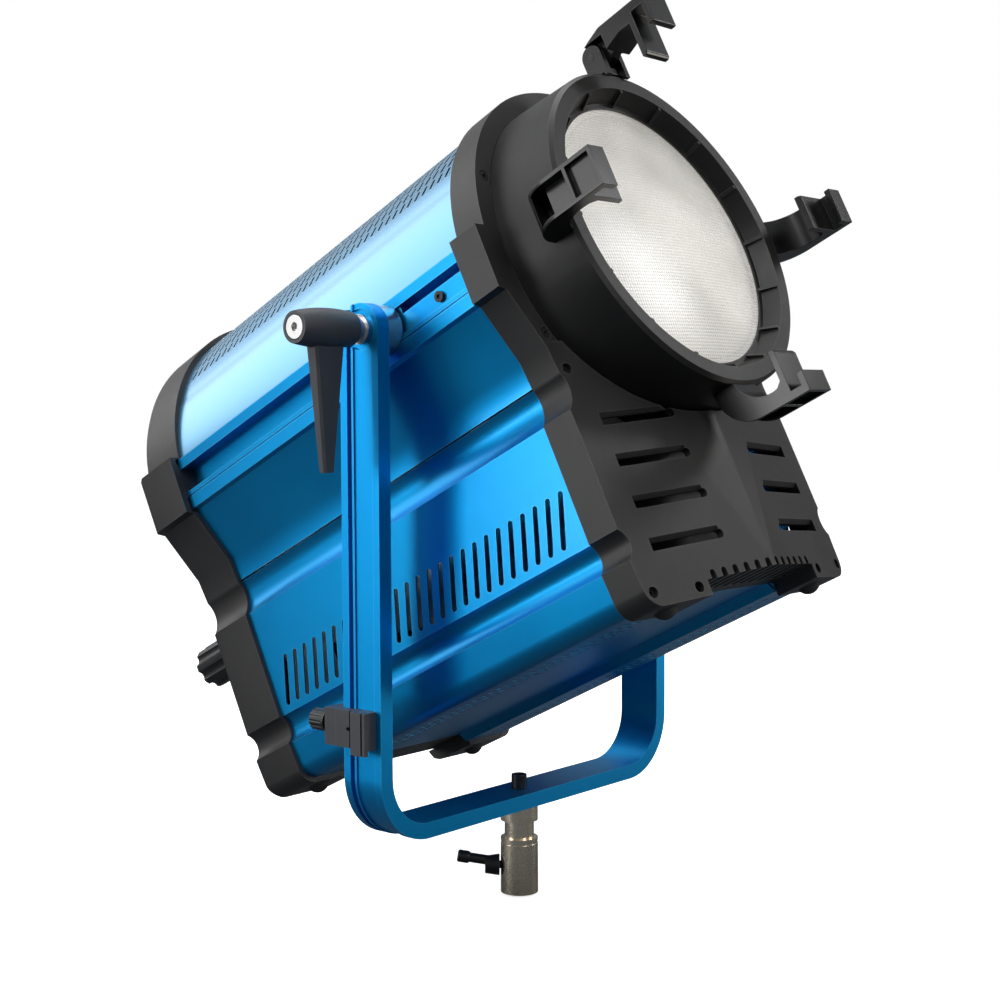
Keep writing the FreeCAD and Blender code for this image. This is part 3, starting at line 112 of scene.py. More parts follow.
# %% Selection and editing helpers


def clear_selection():
    if bpy.context.object and bpy.context.object.mode != "OBJECT":
        bpy.ops.object.mode_set(mode="OBJECT")
    bpy.ops.object.select_all(action="DESELECT")


def make_active(piece):
    clear_selection()
    piece.select_set(True)
    bpy.context.view_layer.objects.active = piece


def start(name):
    """Takes the primitive that was just added and names it."""
    piece = bpy.context.object
    piece.name = name
    piece.data.name = name
    return piece


def edit_mode(kind):
    bpy.ops.object.mode_set(mode="EDIT")
    bpy.ops.mesh.select_mode(type=kind)
    bpy.ops.mesh.select_all(action="DESELECT")


def object_mode():
    bpy.ops.object.mode_set(mode="OBJECT")


def select_faces(piece, rule):
    """In edit mode, selects only the faces for which rule(face) is true."""
    mesh = bmesh.from_edit_mesh(piece.data)
    mesh.faces.ensure_lookup_table()
    for face in mesh.faces:
        face.select_set(bool(rule(face)))
    mesh.select_flush_mode()
    bmesh.update_edit_mesh(piece.data)


def modify(piece, kind, **settings):
    """Adds one modifier with its settings and applies it."""
    make_active(piece)
    modifier = piece.modifiers.new(kind.title(), kind)
    for key, value in settings.items():
        setattr(modifier, key, value)
    bpy.ops.object.modifier_apply(modifier=modifier.name)
    return piece


def soften(piece, width, segments=2, angle=30.0):
    """Rounds the edges that are sharper than the angle."""
    return modify(piece, "BEVEL", width=width, segments=segments, limit_method="ANGLE",
                  angle_limit=math.radians(angle), use_clamp_overlap=True)


def smooth(piece, angle=35.0):
    make_active(piece)
    bpy.ops.object.shade_smooth_by_angle(angle=math.radians(angle))
    return piece


def outward(piece):
    """Merges doubles and turns all normals outward."""
    make_active(piece)
    edit_mode("VERT")
    bpy.ops.mesh.select_all(action="SELECT")
    bpy.ops.mesh.remove_doubles(threshold=0.00001)
    bpy.ops.mesh.normals_make_consistent(inside=False)
    object_mode()
    return piece


def settle(piece, matrix=None):
    """Moves a piece's place into its mesh, so that the object itself sits at the origin."""
    bpy.context.view_layer.update()
    total = piece.matrix_world.copy()
    if matrix is not None:
        total = matrix @ total
    piece.data.transform(total)
    piece.matrix_world = Matrix.Identity(4)
    if total.determinant() < 0:
        piece.data.flip_normals()
    return piece


def duplicate(piece, matrix, name):
    """A copy with its own mesh, moved by a matrix."""
    copy = piece.copy()
    copy.data = piece.data.copy()
    copy.name = name
    copy.data.name = name
    bpy.context.scene.collection.objects.link(copy)
    copy.data.transform(matrix)
    if matrix.determinant() < 0:
        copy.data.flip_normals()
    return copy


def join(pieces, name):
    clear_selection()
    for piece in pieces:
        piece.select_set(True)
    bpy.context.view_layer.objects.active = pieces[0]
    bpy.ops.object.join()
    joined = bpy.context.object
    joined.name = name
    joined.data.name = name
    return joined


def finish_piece(piece, body, slot, material, *nodes):
    """Hands a piece over: its body, its finish and the nodes that it stands for. The slot is not used."""
    piece.data.materials.clear()
    piece.data.materials.append(material)
    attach(piece, body)
    if nodes:
        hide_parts(*nodes)
    print(piece.name, "faces", len(piece.data.polygons))
    return piece


# %% [markdown]
# ## Shader helpers
#
# A finish is built from a few effects that real surfaces share: a fine grain, soft patches of
# handling, wear where edges rub, and dust that settles on top. Each effect is one node group with
# named inputs, so every material can use it with its own values. The groups only put out masks and
# heights; the shader itself stays in the material.

# %% Node tools


def new_group(name, inputs, outputs):
    group = bpy.data.node_groups.new(name, "ShaderNodeTree")
    for label, value in inputs:
        socket = group.interface.new_socket(label, in_out="INPUT", socket_type="NodeSocketFloat")
        socket.default_value = value
    for label in outputs:
        group.interface.new_socket(label, in_out="OUTPUT", socket_type="NodeSocketFloat")
    source = group.nodes.new("NodeGroupInput")
    sink = group.nodes.new("NodeGroupOutput")
    return group, source, sink


def node(tree, kind, **settings):
    made = tree.nodes.new(kind)
    for key, value in settings.items():
        setattr(made, key, value)
    return made


def math_node(tree, operation, first, second=None, clamp=False):
    made = node(tree, "ShaderNodeMath", operation=operation, use_clamp=clamp)
    for index, value in enumerate((first, second)):
        if value is None:
            continue
        if isinstance(value, (int, float)):
            made.inputs[index].default_value = value
        else:
            tree.links.new(value, made.inputs[index])
    return made.outputs[0]


def noise(tree, vector, scale, detail=2.0, roughness=0.5):
    made = node(tree, "ShaderNodeTexNoise")
    tree.links.new(vector, made.inputs["Vector"])
    if isinstance(scale, (int, float)):
        made.inputs["Scale"].default_value = scale
    else:
        tree.links.new(scale, made.inputs["Scale"])
    made.inputs["Detail"].default_value = detail
    made.inputs["Roughness"].default_value = roughness
    return made.outputs["Fac"]


def remap(tree, value, low, high, out_low=0.0, out_high=1.0):
    made = node(tree, "ShaderNodeMapRange")
    tree.links.new(value, made.inputs["Value"])
    settings = (("From Min", low), ("From Max", high), ("To Min", out_low), ("To Max", out_high))
    for label, number in settings:
        made.inputs[label].default_value = number
    return made.outputs["Result"]


# %% [markdown]
# ### Effect groups
#
# *Grain* is the fine bead-blasted or spark-eroded texture. *Handling* is the slow change of gloss
# that fingers and cloths leave. *Edge wear* compares the true normal with a rounded one: they differ
# only near an edge, which is where a finish polishes first. *Dust* looks for faces that point up.

# %% Grain group
grain_group, grain_in, grain_out = new_group("Grain", [("Scale", 2500.0), ("Depth", 1.0)], ["Height"])
grain_place = node(grain_group, "ShaderNodeTexCoord")
grain_fine = noise(grain_group, grain_place.outputs["Object"], grain_in.outputs["Scale"], 3.0, 0.6)
grain_height = math_node(grain_group, "MULTIPLY", grain_fine, grain_in.outputs["Depth"])
grain_group.links.new(grain_height, grain_out.inputs["Height"])

# %% [markdown]
# Two noises make the handling: a slow one for where hands go, and fine specks for the gloss itself.

# %% Handling group
handling_group, handling_in, handling_out = new_group("Handling", [("Scale", 14.0)], ["Mask", "Fine"])
handling_place = node(handling_group, "ShaderNodeTexCoord")
handling_slow = noise(handling_group, handling_place.outputs["Object"],
                      handling_in.outputs["Scale"], 4.0, 0.55)
handling_mask = remap(handling_group, handling_slow, 0.35, 0.7)
handling_specks = noise(handling_group, handling_place.outputs["Object"], 240.0, 2.0, 0.5)
handling_group.links.new(handling_mask, handling_out.inputs["Mask"])
handling_group.links.new(remap(handling_group, handling_specks, 0.3, 0.7), handling_out.inputs["Fine"])

# %% [markdown]
# A bead of polish about a millimetre wide runs along each edge, broken up so it looks rubbed and not
# outlined.

# %% Edge wear group
wear_group, wear_in, wear_out = new_group("Edge wear", [("Breakup", 0.6)], ["Mask"])
wear_round = node(wear_group, "ShaderNodeBevel", samples=4)
wear_round.inputs["Radius"].default_value = 0.0011
wear_true = node(wear_group, "ShaderNodeNewGeometry")
wear_dot = node(wear_group, "ShaderNodeVectorMath", operation="DOT_PRODUCT")
wear_group.links.new(wear_round.outputs["Normal"], wear_dot.inputs[0])
wear_group.links.new(wear_true.outputs["Normal"], wear_dot.inputs[1])
wear_edge = remap(wear_group, wear_dot.outputs["Value"], 0.995, 0.86)
wear_place = node(wear_group, "ShaderNodeTexCoord")
wear_noise = noise(wear_group, wear_place.outputs["Object"], 160.0, 3.0, 0.6)
wear_soft = remap(wear_group, wear_noise, 0.3, 0.65)
wear_mix = math_node(wear_group, "MULTIPLY", wear_soft, wear_in.outputs["Breakup"])
wear_rest = math_node(wear_group, "SUBTRACT", 1.0, wear_in.outputs["Breakup"])
wear_amount = math_node(wear_group, "ADD", wear_mix, wear_rest)
wear_group.links.new(math_node(wear_group, "MULTIPLY", wear_edge, wear_amount, True), wear_out.inputs["Mask"])

# %% [markdown]
# Dust lies on faces that look up, in specks, and never on the sides.

# %% Dust group
dust_group, dust_in, dust_out = new_group("Dust", [("Amount", 0.15)], ["Mask"])
dust_geometry = node(dust_group, "ShaderNodeNewGeometry")
dust_split = node(dust_group, "ShaderNodeSeparateXYZ")
dust_group.links.new(dust_geometry.outputs["Normal"], dust_split.inputs[0])
dust_up = remap(dust_group, dust_split.outputs["Z"], 0.3, 1.0)
dust_place = node(dust_group, "ShaderNodeTexCoord")
dust_noise = noise(dust_group, dust_place.outputs["Object"], 900.0, 3.0, 0.7)
dust_cover = math_node(dust_group, "MULTIPLY", dust_up, remap(dust_group, dust_noise, 0.45, 0.75))
dust_group.links.new(math_node(dust_group, "MULTIPLY", dust_cover, dust_in.outputs["Amount"], True),
                     dust_out.inputs["Mask"])
print("effect groups:", [g.name for g in bpy.data.node_groups])

# %% [markdown]
# ## Finishes
#
# `finish` builds one material the way a paint shop would describe it: a base colour, how metallic and
# how rough it is, the grain on it, how its gloss changes with handling, and what shows at a worn edge.
# All constants sit on the shader's own sockets; only masks travel through the nodes.

# %% Finish builder
DUST_COLOUR = (0.55, 0.53, 0.5)
HANDLING_SCALE = 14.0


def place_group(tree, group, **values):
    made = node(tree, "ShaderNodeGroup")
    made.node_tree = group
    for label, value in values.items():
        made.inputs[label].default_value = value
    return made


def mix_colour(tree, mask, first, second):
    made = node(tree, "ShaderNodeMix", data_type="RGBA")
    tree.links.new(mask, made.inputs["Factor"])
    for socket, value in ((made.inputs["A"], first), (made.inputs["B"], second)):
        if isinstance(value, tuple):
            socket.default_value = value + (1.0,)
        else:
            tree.links.new(value, socket)
    return made.outputs["Result"]


def shader_of(material):
    return next(n for n in material.node_tree.nodes if n.type == "BSDF_PRINCIPLED")


def finish(name, colour, roughness, metallic=0.0, edge=None, patch=None, grain=(2500.0, 0.15, 0.0002),
           gloss_change=0.06, wear=0.6, coat=0.0, coat_roughness=0.1, dust=0.0, specular=0.5):
    """One material: colour with patches, worn edges and dust, uneven gloss and a fine grain."""
    material = bpy.data.materials.new(name)
    material.use_nodes = True
    tree = material.node_tree
    shader = shader_of(material)
    shader.inputs["Metallic"].default_value = metallic
    shader.inputs["Specular IOR Level"].default_value = specular
    shader.inputs["Coat Weight"].default_value = coat
    shader.inputs["Coat Roughness"].default_value = coat_roughness
    handling = place_group(tree, handling_group, Scale=HANDLING_SCALE)
    patch = patch or tuple(min(1.0, channel * 1.25 + 0.004) for channel in colour)
    shade = mix_colour(tree, handling.outputs["Mask"], colour, patch)
    if edge:
        worn = place_group(tree, wear_group, Breakup=wear)
        shade = mix_colour(tree, worn.outputs["Mask"], shade, edge)
    if dust:
        dusty = place_group(tree, dust_group, Amount=dust)
        shade = mix_colour(tree, dusty.outputs["Mask"], shade, DUST_COLOUR)
    tree.links.new(shade, shader.inputs["Base Color"])
    uneven = math_node(tree, "MULTIPLY", handling.outputs["Mask"], gloss_change)
    specks = math_node(tree, "MULTIPLY", handling.outputs["Fine"], gloss_change * 0.5)
    rough = math_node(tree, "ADD", math_node(tree, "ADD", uneven, specks), roughness, True)
    tree.links.new(rough, shader.inputs["Roughness"])
    grain_node = place_group(tree, grain_group, Scale=grain[0], Depth=1.0)
    bump = node(tree, "ShaderNodeBump")
    bump.inputs["Strength"].default_value = grain[1]
    bump.inputs["Distance"].default_value = grain[2]
    tree.links.new(grain_node.outputs["Height"], bump.inputs["Height"])
    tree.links.new(bump.outputs["Normal"], shader.inputs["Normal"])
    return material


# %% [markdown]
# ### Blue anodising
#
# The crown is a thin sheet with its own mix: a paler copy of the same blue, with pale edges and a
# stronger clear skin, which paints in the highlight of the strong light on the crown.
#
# Anodised aluminium is metal with a clear dyed skin. The metal gives strong blue reflections and the
# skin adds a paler one at shallow angles, so a metallic base carries a thin coat. Extruded stock also
# has faint die lines along its length: a noise that is stretched along the lens axis gives them.

# %% Blue anodised metal


def add_die_lines(material, angle, strength, length_axis):
    """Mixes long, faint lines into the roughness."""
    tree = material.node_tree
    shader = shader_of(material)
    place = node(tree, "ShaderNodeTexCoord")
    turn = node(tree, "ShaderNodeVectorRotate", rotation_type="X_AXIS")
    turn.inputs["Angle"].default_value = angle
    tree.links.new(place.outputs["Object"], turn.inputs["Vector"])
    stretch = node(tree, "ShaderNodeMapping")
    factors = [900.0, 900.0, 900.0]
    factors[length_axis] = 6.0
    stretch.inputs["Scale"].default_value = factors
    tree.links.new(turn.outputs["Vector"], stretch.inputs["Vector"])
    lines = noise(tree, stretch.outputs["Vector"], 1.0, 2.0, 0.5)
    rough_link = shader.inputs["Roughness"].links[0].from_socket
    extra = remap(tree, lines, 0.3, 0.7, -strength, strength)
    tree.links.new(math_node(tree, "ADD", rough_link, extra, True), shader.inputs["Roughness"])


anodised = finish("anodised_blue", (0.001, 0.262, 0.60), 0.36, 0.96, edge=(0.10, 0.50, 0.80),
                  patch=(0.001, 0.285, 0.63), grain=(3000.0, 0.12, 0.0001), gloss_change=0.03,
                  wear=0.35, coat=0.22, coat_roughness=0.2)
# Crown: a paler copy of the blue with pale edges, a painted highlight.
crown_blue_painted_highlight = finish("crown_blue_painted_highlight", (0.08, 0.33, 0.56), 0.34, 0.95, edge=(0.45, 0.75, 0.92),
                    patch=(0.09, 0.345, 0.58), grain=(3000.0, 0.12, 0.0001), gloss_change=0.03,
                    wear=0.35, coat=1.0, coat_roughness=0.24)
yoke_blue = finish("yoke_blue", (0.001, 0.285, 0.66), 0.42, 0.96, edge=(0.05, 0.45, 0.82),
                   patch=(0.001, 0.295, 0.67), grain=(3000.0, 0.12, 0.0001), gloss_change=0.03,
                   wear=0.35, coat=0.12, coat_roughness=0.25)
DIE_LINE_STRENGTH = 0.012
LINED = ((anodised, tilt_angle, 1), (crown_blue_painted_highlight, tilt_angle, 1), (yoke_blue, 0.0, 2))
for metal, line_angle, line_axis in LINED:
    add_die_lines(metal, line_angle, DIE_LINE_STRENGTH, line_axis)
shader_of(crown_blue_painted_highlight).inputs["Coat IOR"].default_value = 1.7
print("die lines run along the lens axis and along the yoke's arms")

# %% [markdown]
# ### Black mouldings, nylon, glass and metal
#
# No two blacks on the lamp are alike. The castings are spark-eroded and warm grey where light rakes
# over them, the barn-door brackets are smoother and shinier, and the tilt lever has a coarse nylon
# texture. Keeping them apart is most of what makes a black object read.

# %% Blacks
casting_black = finish("casting_black", (0.0095, 0.009, 0.0092), 0.42, edge=(0.075, 0.07, 0.068),
                       grain=(3200.0, 0.35, 0.00012), gloss_change=0.07, wear=0.5, dust=0.05)
barrel_black = finish("barrel_black", (0.004, 0.0037, 0.0035), 0.40, edge=(0.07, 0.066, 0.062),
                      grain=(3000.0, 0.3, 0.00012), gloss_change=0.08, wear=0.5, dust=0.02, specular=0.4)
bracket_black = finish("bracket_black", (0.0035, 0.0035, 0.0038), 0.24,
                       grain=(2600.0, 0.05, 0.00004), gloss_change=0.02)
lever_black = finish("lever_black", (0.034, 0.037, 0.045), 0.46, edge=(0.07, 0.07, 0.075),
                     grain=(1500.0, 0.8, 0.00025), gloss_change=0.06, wear=0.5)
knob_black = finish("knob_black", (0.005, 0.005, 0.0055), 0.32, edge=(0.05, 0.05, 0.052),
                    grain=(2600.0, 0.2, 0.0001), gloss_change=0.08, wear=0.5)
rubber_black = finish("rubber_black", (0.016, 0.016, 0.016), 0.68, grain=(1800.0, 0.4, 0.0002))
panel_black = finish("panel_black", (0.016, 0.016, 0.018), 0.42, edge=(0.06, 0.06, 0.062),
                     grain=(2000.0, 0.6, 0.0002), gloss_change=0.06)
oxide_black = finish("black_steel", (0.009, 0.009, 0.010), 0.34, 0.3, edge=(0.07, 0.07, 0.07),
                     grain=(2600.0, 0.2, 0.0001))
fan_black = finish("fan_black", (0.018, 0.018, 0.02), 0.4, edge=(0.05, 0.05, 0.05))

# %% [markdown]
# The bare metals are turned or plated. Nickel over brass is warmer than steel, which is why the spigot
# doesn't match the screws.

# %% Bare metals
steel = finish("steel", (0.66, 0.66, 0.65), 0.28, 1.0, edge=(0.75, 0.75, 0.74), patch=(0.60, 0.60, 0.59),
               grain=(2200.0, 0.12, 0.0001), gloss_change=0.08)
nickel = finish("nickel", (1.0, 0.87, 0.69), 0.24, 1.0, edge=(0.78, 0.74, 0.66), patch=(0.94, 0.80, 0.61),
                grain=(2600.0, 0.08, 0.00006), gloss_change=0.06)
brass = finish("brass", (0.62, 0.43, 0.15), 0.25, 1.0, patch=(0.5, 0.34, 0.12))
bright_aluminium = finish("bright_aluminium", (0.62, 0.63, 0.64), 0.32, 1.0, patch=(0.55, 0.56, 0.57))

# %% [markdown]
# The last few finishes are for the boards inside and the controls at the back.

# %% Boards, switch and window
board_green = finish("board_green", (0.02, 0.13, 0.05), 0.35, patch=(0.03, 0.16, 0.06))
switch_red = finish("switch_red", (0.35, 0.012, 0.012), 0.25, edge=(0.5, 0.06, 0.05), coat=0.4)
window = finish("display_glass", (0.006, 0.009, 0.014), 0.06, gloss_change=0.03, grain=(400.0, 0.02, 0.0001),
                coat=0.6, coat_roughness=0.03)

# %% [markdown]
# ### Lens glass
#
# The lens is pressed glass with a fine stipple on its face that spreads the beam, so it looks pale
# and milky instead of clear. A rough glass that lets part of the light through does it, with a little
# painted glow: the unlit lens emits a faint light. The bump has two crossed waves in the lens's own
# plane, which is the little pyramid pattern of the mould, and a slow cloud mixes dark patches into the
# milk, a painted reflection.

# %% Lens glass
STIPPLE_SCALE = 130.0


def lens_material():
    material = bpy.data.materials.new("lens_glass")
    material.use_nodes = True
    tree = material.node_tree
    shader = shader_of(material)
    shader.inputs["Roughness"].default_value = 0.28
    shader.inputs["IOR"].default_value = 1.47
    shader.inputs["Transmission Weight"].default_value = 0.35
    # Painted light: the unlit lens is given a small glow.
    shader.inputs["Emission Color"].default_value = (1.0, 0.97, 0.92, 1.0)
    shader.inputs["Emission Strength"].default_value = 0.20
    shader.inputs["Coat Weight"].default_value = 0.6
    shader.inputs["Coat Roughness"].default_value = 0.2
    place = node(tree, "ShaderNodeTexCoord")
    turn = node(tree, "ShaderNodeMapping")
    turn.inputs["Rotation"].default_value = (tilt_angle, 0.0, 0.0)
    tree.links.new(place.outputs["Object"], turn.inputs["Vector"])
    waves = []
    for direction in ("X", "Z"):
        wave = node(tree, "ShaderNodeTexWave", bands_direction=direction)
        wave.inputs["Scale"].default_value = STIPPLE_SCALE
        tree.links.new(turn.outputs["Vector"], wave.inputs["Vector"])
        waves.append(wave.outputs["Fac"])
    height = math_node(tree, "MULTIPLY", waves[0], waves[1])
    bump = node(tree, "ShaderNodeBump")
    bump.inputs["Strength"].default_value = 1.0
    bump.inputs["Distance"].default_value = 0.0012
    tree.links.new(height, bump.inputs["Height"])
    tree.links.new(bump.outputs["Normal"], shader.inputs["Normal"])
    # Milky glass colour with dark patches mixed in, a painted reflection.
    painted_reflection_cloud = noise(tree, place.outputs["Object"], 7.0, 2.0, 0.5)
    milk_and_painted_reflection = mix_colour(tree, remap(tree, painted_reflection_cloud, 0.40, 0.60), (0.42, 0.41, 0.38), (0.98, 0.96, 0.92))
    tree.links.new(milk_and_painted_reflection, shader.inputs["Base Color"])
    return material


lens_glass = lens_material()
print("materials:", len(bpy.data.materials))

# %% [markdown]
# ## Finishes for the carried-over parts
#
# Most inner parts are right as they are. Each takes the finish of its slot in the record; a table of
# slot names keeps that to one loop.

# %% Assign finishes by slot
SLOT_FINISH = {
    "anodised_blue": anodised, "yoke_blue": yoke_blue, "casting_black": casting_black,
    "barrel_black": barrel_black, "bracket_black": bracket_black, "lens_glass": lens_glass,
    "rubber_black": rubber_black, "lever_black": lever_black, "knob_black": knob_black,
    "steel": steel, "nickel": nickel, "black_steel": oxide_black, "brass": brass,
    "bright_aluminium": bright_aluminium, "panel_black": panel_black, "display_glass": window,
    "board_green": board_green, "fan_black": fan_black, "switch_red": switch_red,
}
node_slot = {part["node"]: part["material_slot"] for part in frame["record"]["subparts"]}
node_body = {}
for body_name, members in frame["record"]["behaviour"]["bodies"].items():
    for member in members:
        node_body[member] = body_name
for node_name, carried in frame["nodes"].items():
    carried.data.materials.clear()
    carried.data.materials.append(SLOT_FINISH[node_slot[node_name]])
for small_part in ("latch_pin", "latch_springs"):
    frame["nodes"][small_part].data.materials[0] = oxide_black
print("finished nodes:", len(frame["nodes"]))

# %% [markdown]
# ## Rounded twins of the mouldings and extrusions
#
# A moulded or extruded part never has a knife edge: the mould and the die round it, and that thin
# round is what catches the light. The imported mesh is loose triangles, so a copy is welded, its flat
# areas are dissolved back into single faces, and a narrow bevel goes on every edge sharper than 30
# degrees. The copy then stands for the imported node.

# %% Rounded copies


def rounded_twin(node_name, width, segments=2, angle=30.0, shade=40.0):
    source = frame["nodes"][node_name]
    twin = source.copy()
    twin.data = source.data.copy()
    twin.parent = None
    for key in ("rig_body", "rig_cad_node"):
        if key in twin:
            del twin[key]
    bpy.context.scene.collection.objects.link(twin)
    twin.name = node_name + "_rounded"
    make_active(twin)
    edit_mode("VERT")
    bpy.ops.mesh.select_all(action="SELECT")
    bpy.ops.mesh.remove_doubles(threshold=0.000004)
    bpy.ops.mesh.dissolve_limited(angle_limit=math.radians(0.6))
    object_mode()
    soften(twin, width * MM, segments, angle)
    smooth(twin, shade)
    modify(twin, "WEIGHTED_NORMAL", keep_sharp=True)
    slot_name = node_slot[node_name]
    return finish_piece(twin, node_body[node_name], slot_name, SLOT_FINISH[slot_name], node_name)


ROUNDED = {
    "yoke_bar": 0.9, "front_casting": 0.8, "rear_casting": 0.8, "lens_barrel": 0.7, "side_rails": 0.5,
    "ear_near": 0.9, "ear_far": 0.9, "ear_lower": 0.9, "latch_bracket": 0.9, "latch_post": 0.6,
    "clamp_block": 0.7, "clamp_jaw": 0.7, "pivot_sliders": 0.4, "pivot_discs": 0.6,
    "power_inlet": 0.4, "display_frame": 0.5, "switch_frame": 0.4, "switch_rocker": 0.5,
    "lever_handle": 0.9, "focus_knob": 0.8, "intensity_knob": 0.6, "colour_knob": 0.6,
    "spigot_bolt": 0.5, "stand_spigot": 0.5, "spigot_lock_screw": 0.6, "clamp_thumb_screw": 0.5,
    "lever_stud": 0.4, "lever_screw": 0.4, "pivot_bolt_far": 0.4, "data_sockets": 0.4, "rear_panel": 0.4,
}
for rounded_node, rounded_width in ROUNDED.items():
    rounded_twin(rounded_node, rounded_width)

# %% [markdown]
# ## Sheet metal of the housing
#
# The skins are long strips with one cross-section from end to end: the crown and its shoulders, the
# waved sides and the bottom cover. A cross-section is drawn by extruding one vertex from point to
# point, exactly as one would trace it in edit mode, and then the line is extruded along the lamp and
# given its wall. This keeps long clean quads, so reflections run straight.

# %% Profile tools
skin_low, skin_high = head_extent("top_shell")
FRONT = -skin_low.y / MM
BACK = -skin_high.y / MM
SKIN_WALL = 2.0 * MM


def arc_points(first, way, last, steps):
    """Points of the arc through three (x, z) points, without the first."""
    ax, az = first
    bx, bz = way
    cx, cz = last
    d = 2 * (ax * (bz - cz) + bx * (cz - az) + cx * (az - bz))
    sa, sb, sc = ax * ax + az * az, bx * bx + bz * bz, cx * cx + cz * cz
    ux = (sa * (bz - cz) + sb * (cz - az) + sc * (az - bz)) / d
    uz = (sa * (cx - bx) + sb * (ax - cx) + sc * (bx - ax)) / d
    radius = math.hypot(ax - ux, az - uz)
    start_angle = math.atan2(az - uz, ax - ux)
    end_angle = math.atan2(cz - uz, cx - ux)
    turn = (end_angle - start_angle + math.pi) % (2 * math.pi) - math.pi
    angles = [start_angle + turn * k / steps for k in range(1, steps + 1)]
    return [(ux + radius * math.cos(a), uz + radius * math.sin(a)) for a in angles]


def trace_profile(points, front, back, name):
    """Draws (x, z) points as a line of edges at the front and extrudes it to the back, in millimetres."""
    clear_selection()
    bpy.ops.mesh.primitive_plane_add(size=0.01, location=(0.0, 0.0, 0.0))
    piece = start(name)
    edit_mode("VERT")
    bpy.ops.mesh.select_all(action="SELECT")
    bpy.ops.mesh.merge(type="CENTER")
    here = Vector((points[0][0], -front, points[0][1])) * MM
    bpy.ops.transform.translate(value=here)
    for x, z in points[1:]:
        there = Vector((x, -front, z)) * MM
        bpy.ops.mesh.extrude_region_move(TRANSFORM_OT_translate={"value": there - here})
        here = there
    bpy.ops.mesh.select_all(action="SELECT")
    bpy.ops.mesh.extrude_region_move(TRANSFORM_OT_translate={"value": (0.0, (front - back) * MM, 0.0)})
    object_mode()
    return piece


print("skins run", round(BACK, 1), "to", round(FRONT, 1), "mm along the lens axis")

# %% [markdown]
# ### Perforated crown
#
# The crown is punched with hundreds of short slanted slots, so heat can rise out. One cell is made by
# hand: a plane, an inset face scaled to a slot, turned to its slant, its corners rounded and the face
# deleted. Two array modifiers repeat the cell, and the flat sheet is then rolled onto the crown's
# radius, which is how the real sheet is made: punched flat, then rolled.

# %% Slotted sheet
SLOT_PITCH = 8.1
SLOT_ROW = 11.6
SHEET_WALL = 0.0012


def slotted_sheet(name, columns, rows, slot_width=3.0, slot_length=9.0, lean=18.0):
    """Flat punched sheet, columns along y and rows along x, centred at the origin, in metres."""
    clear_selection()
    bpy.ops.mesh.primitive_plane_add(size=1.0, location=(0.0, 0.0, 0.0))
    piece = start(name)
    edit_mode("FACE")
    bpy.ops.mesh.select_all(action="SELECT")
    bpy.ops.transform.resize(value=(SLOT_ROW * MM, SLOT_PITCH * MM, 1.0))
    bpy.ops.mesh.inset(thickness=1.0 * MM)
    inner_x = slot_length / (SLOT_ROW - 2.0)
    inner_y = slot_width / (SLOT_PITCH - 2.0)
    bpy.ops.transform.resize(value=(inner_x, inner_y, 1.0), center_override=(0.0, 0.0, 0.0))
    bpy.ops.transform.rotate(value=math.radians(lean), orient_axis="Z", center_override=(0.0, 0.0, 0.0))
    bpy.ops.mesh.bevel(offset=0.75 * MM, segments=2, affect="VERTICES")
    select_faces(piece, lambda face: max(v.co.length for v in face.verts) < 0.5 * slot_length * MM + 0.0003
                 and len(face.verts) > 6)
    bpy.ops.mesh.delete(type="FACE")
    object_mode()
    for count, axis in ((rows, 0), (columns, 1)):
        offset = [0.0, 0.0, 0.0]
        offset[axis] = (SLOT_ROW if axis == 0 else SLOT_PITCH) * MM
        modify(piece, "ARRAY", count=count, use_relative_offset=False, use_constant_offset=True,
               constant_offset_displace=offset, use_merge_vertices=True, merge_threshold=0.00005)
    shift = Vector((-(rows - 1) / 2 * SLOT_ROW, -(columns - 1) / 2 * SLOT_PITCH, 0.0)) * MM
    piece.data.transform(Matrix.Translation(shift))
    return piece


CROWN_RADIUS = 136.5
CREASE = (119.6, 66.4)
crease_angle = math.atan2(CREASE[0], CREASE[1])
crown_rows = int((crease_angle * CROWN_RADIUS - 9.0) / SLOT_ROW) * 2
crown_columns = int((FRONT - BACK - 10.0) / SLOT_PITCH)
crown = slotted_sheet("crown_sheet", crown_columns, crown_rows)
middle_s = (FRONT + BACK) / 2
for vertex in crown.data.vertices:
    roll = vertex.co.x / (CROWN_RADIUS * MM)
    vertex.co = Vector((CROWN_RADIUS * MM * math.sin(roll), vertex.co.y - middle_s * MM,
                        CROWN_RADIUS * MM * math.cos(roll)))
print("crown slots:", crown_rows * crown_columns)

# %% [markdown]
# The punched field stops short of the creases. Plain strips carry the crown on to each crease, and the
# shoulders fall from there to the side rails, so the shell is one sheet when they are joined.

# %% Plain margins and shoulders
sheet_angle = crown_rows * SLOT_ROW / 2 / CROWN_RADIUS
sheet_half = crown_columns * SLOT_PITCH / 2


def crown_point(angle):
    return (CROWN_RADIUS * math.sin(angle), CROWN_RADIUS * math.cos(angle))


def crown_arc(first, last, steps):
    return [crown_point(first + (last - first) * k / steps) for k in range(steps + 1)]


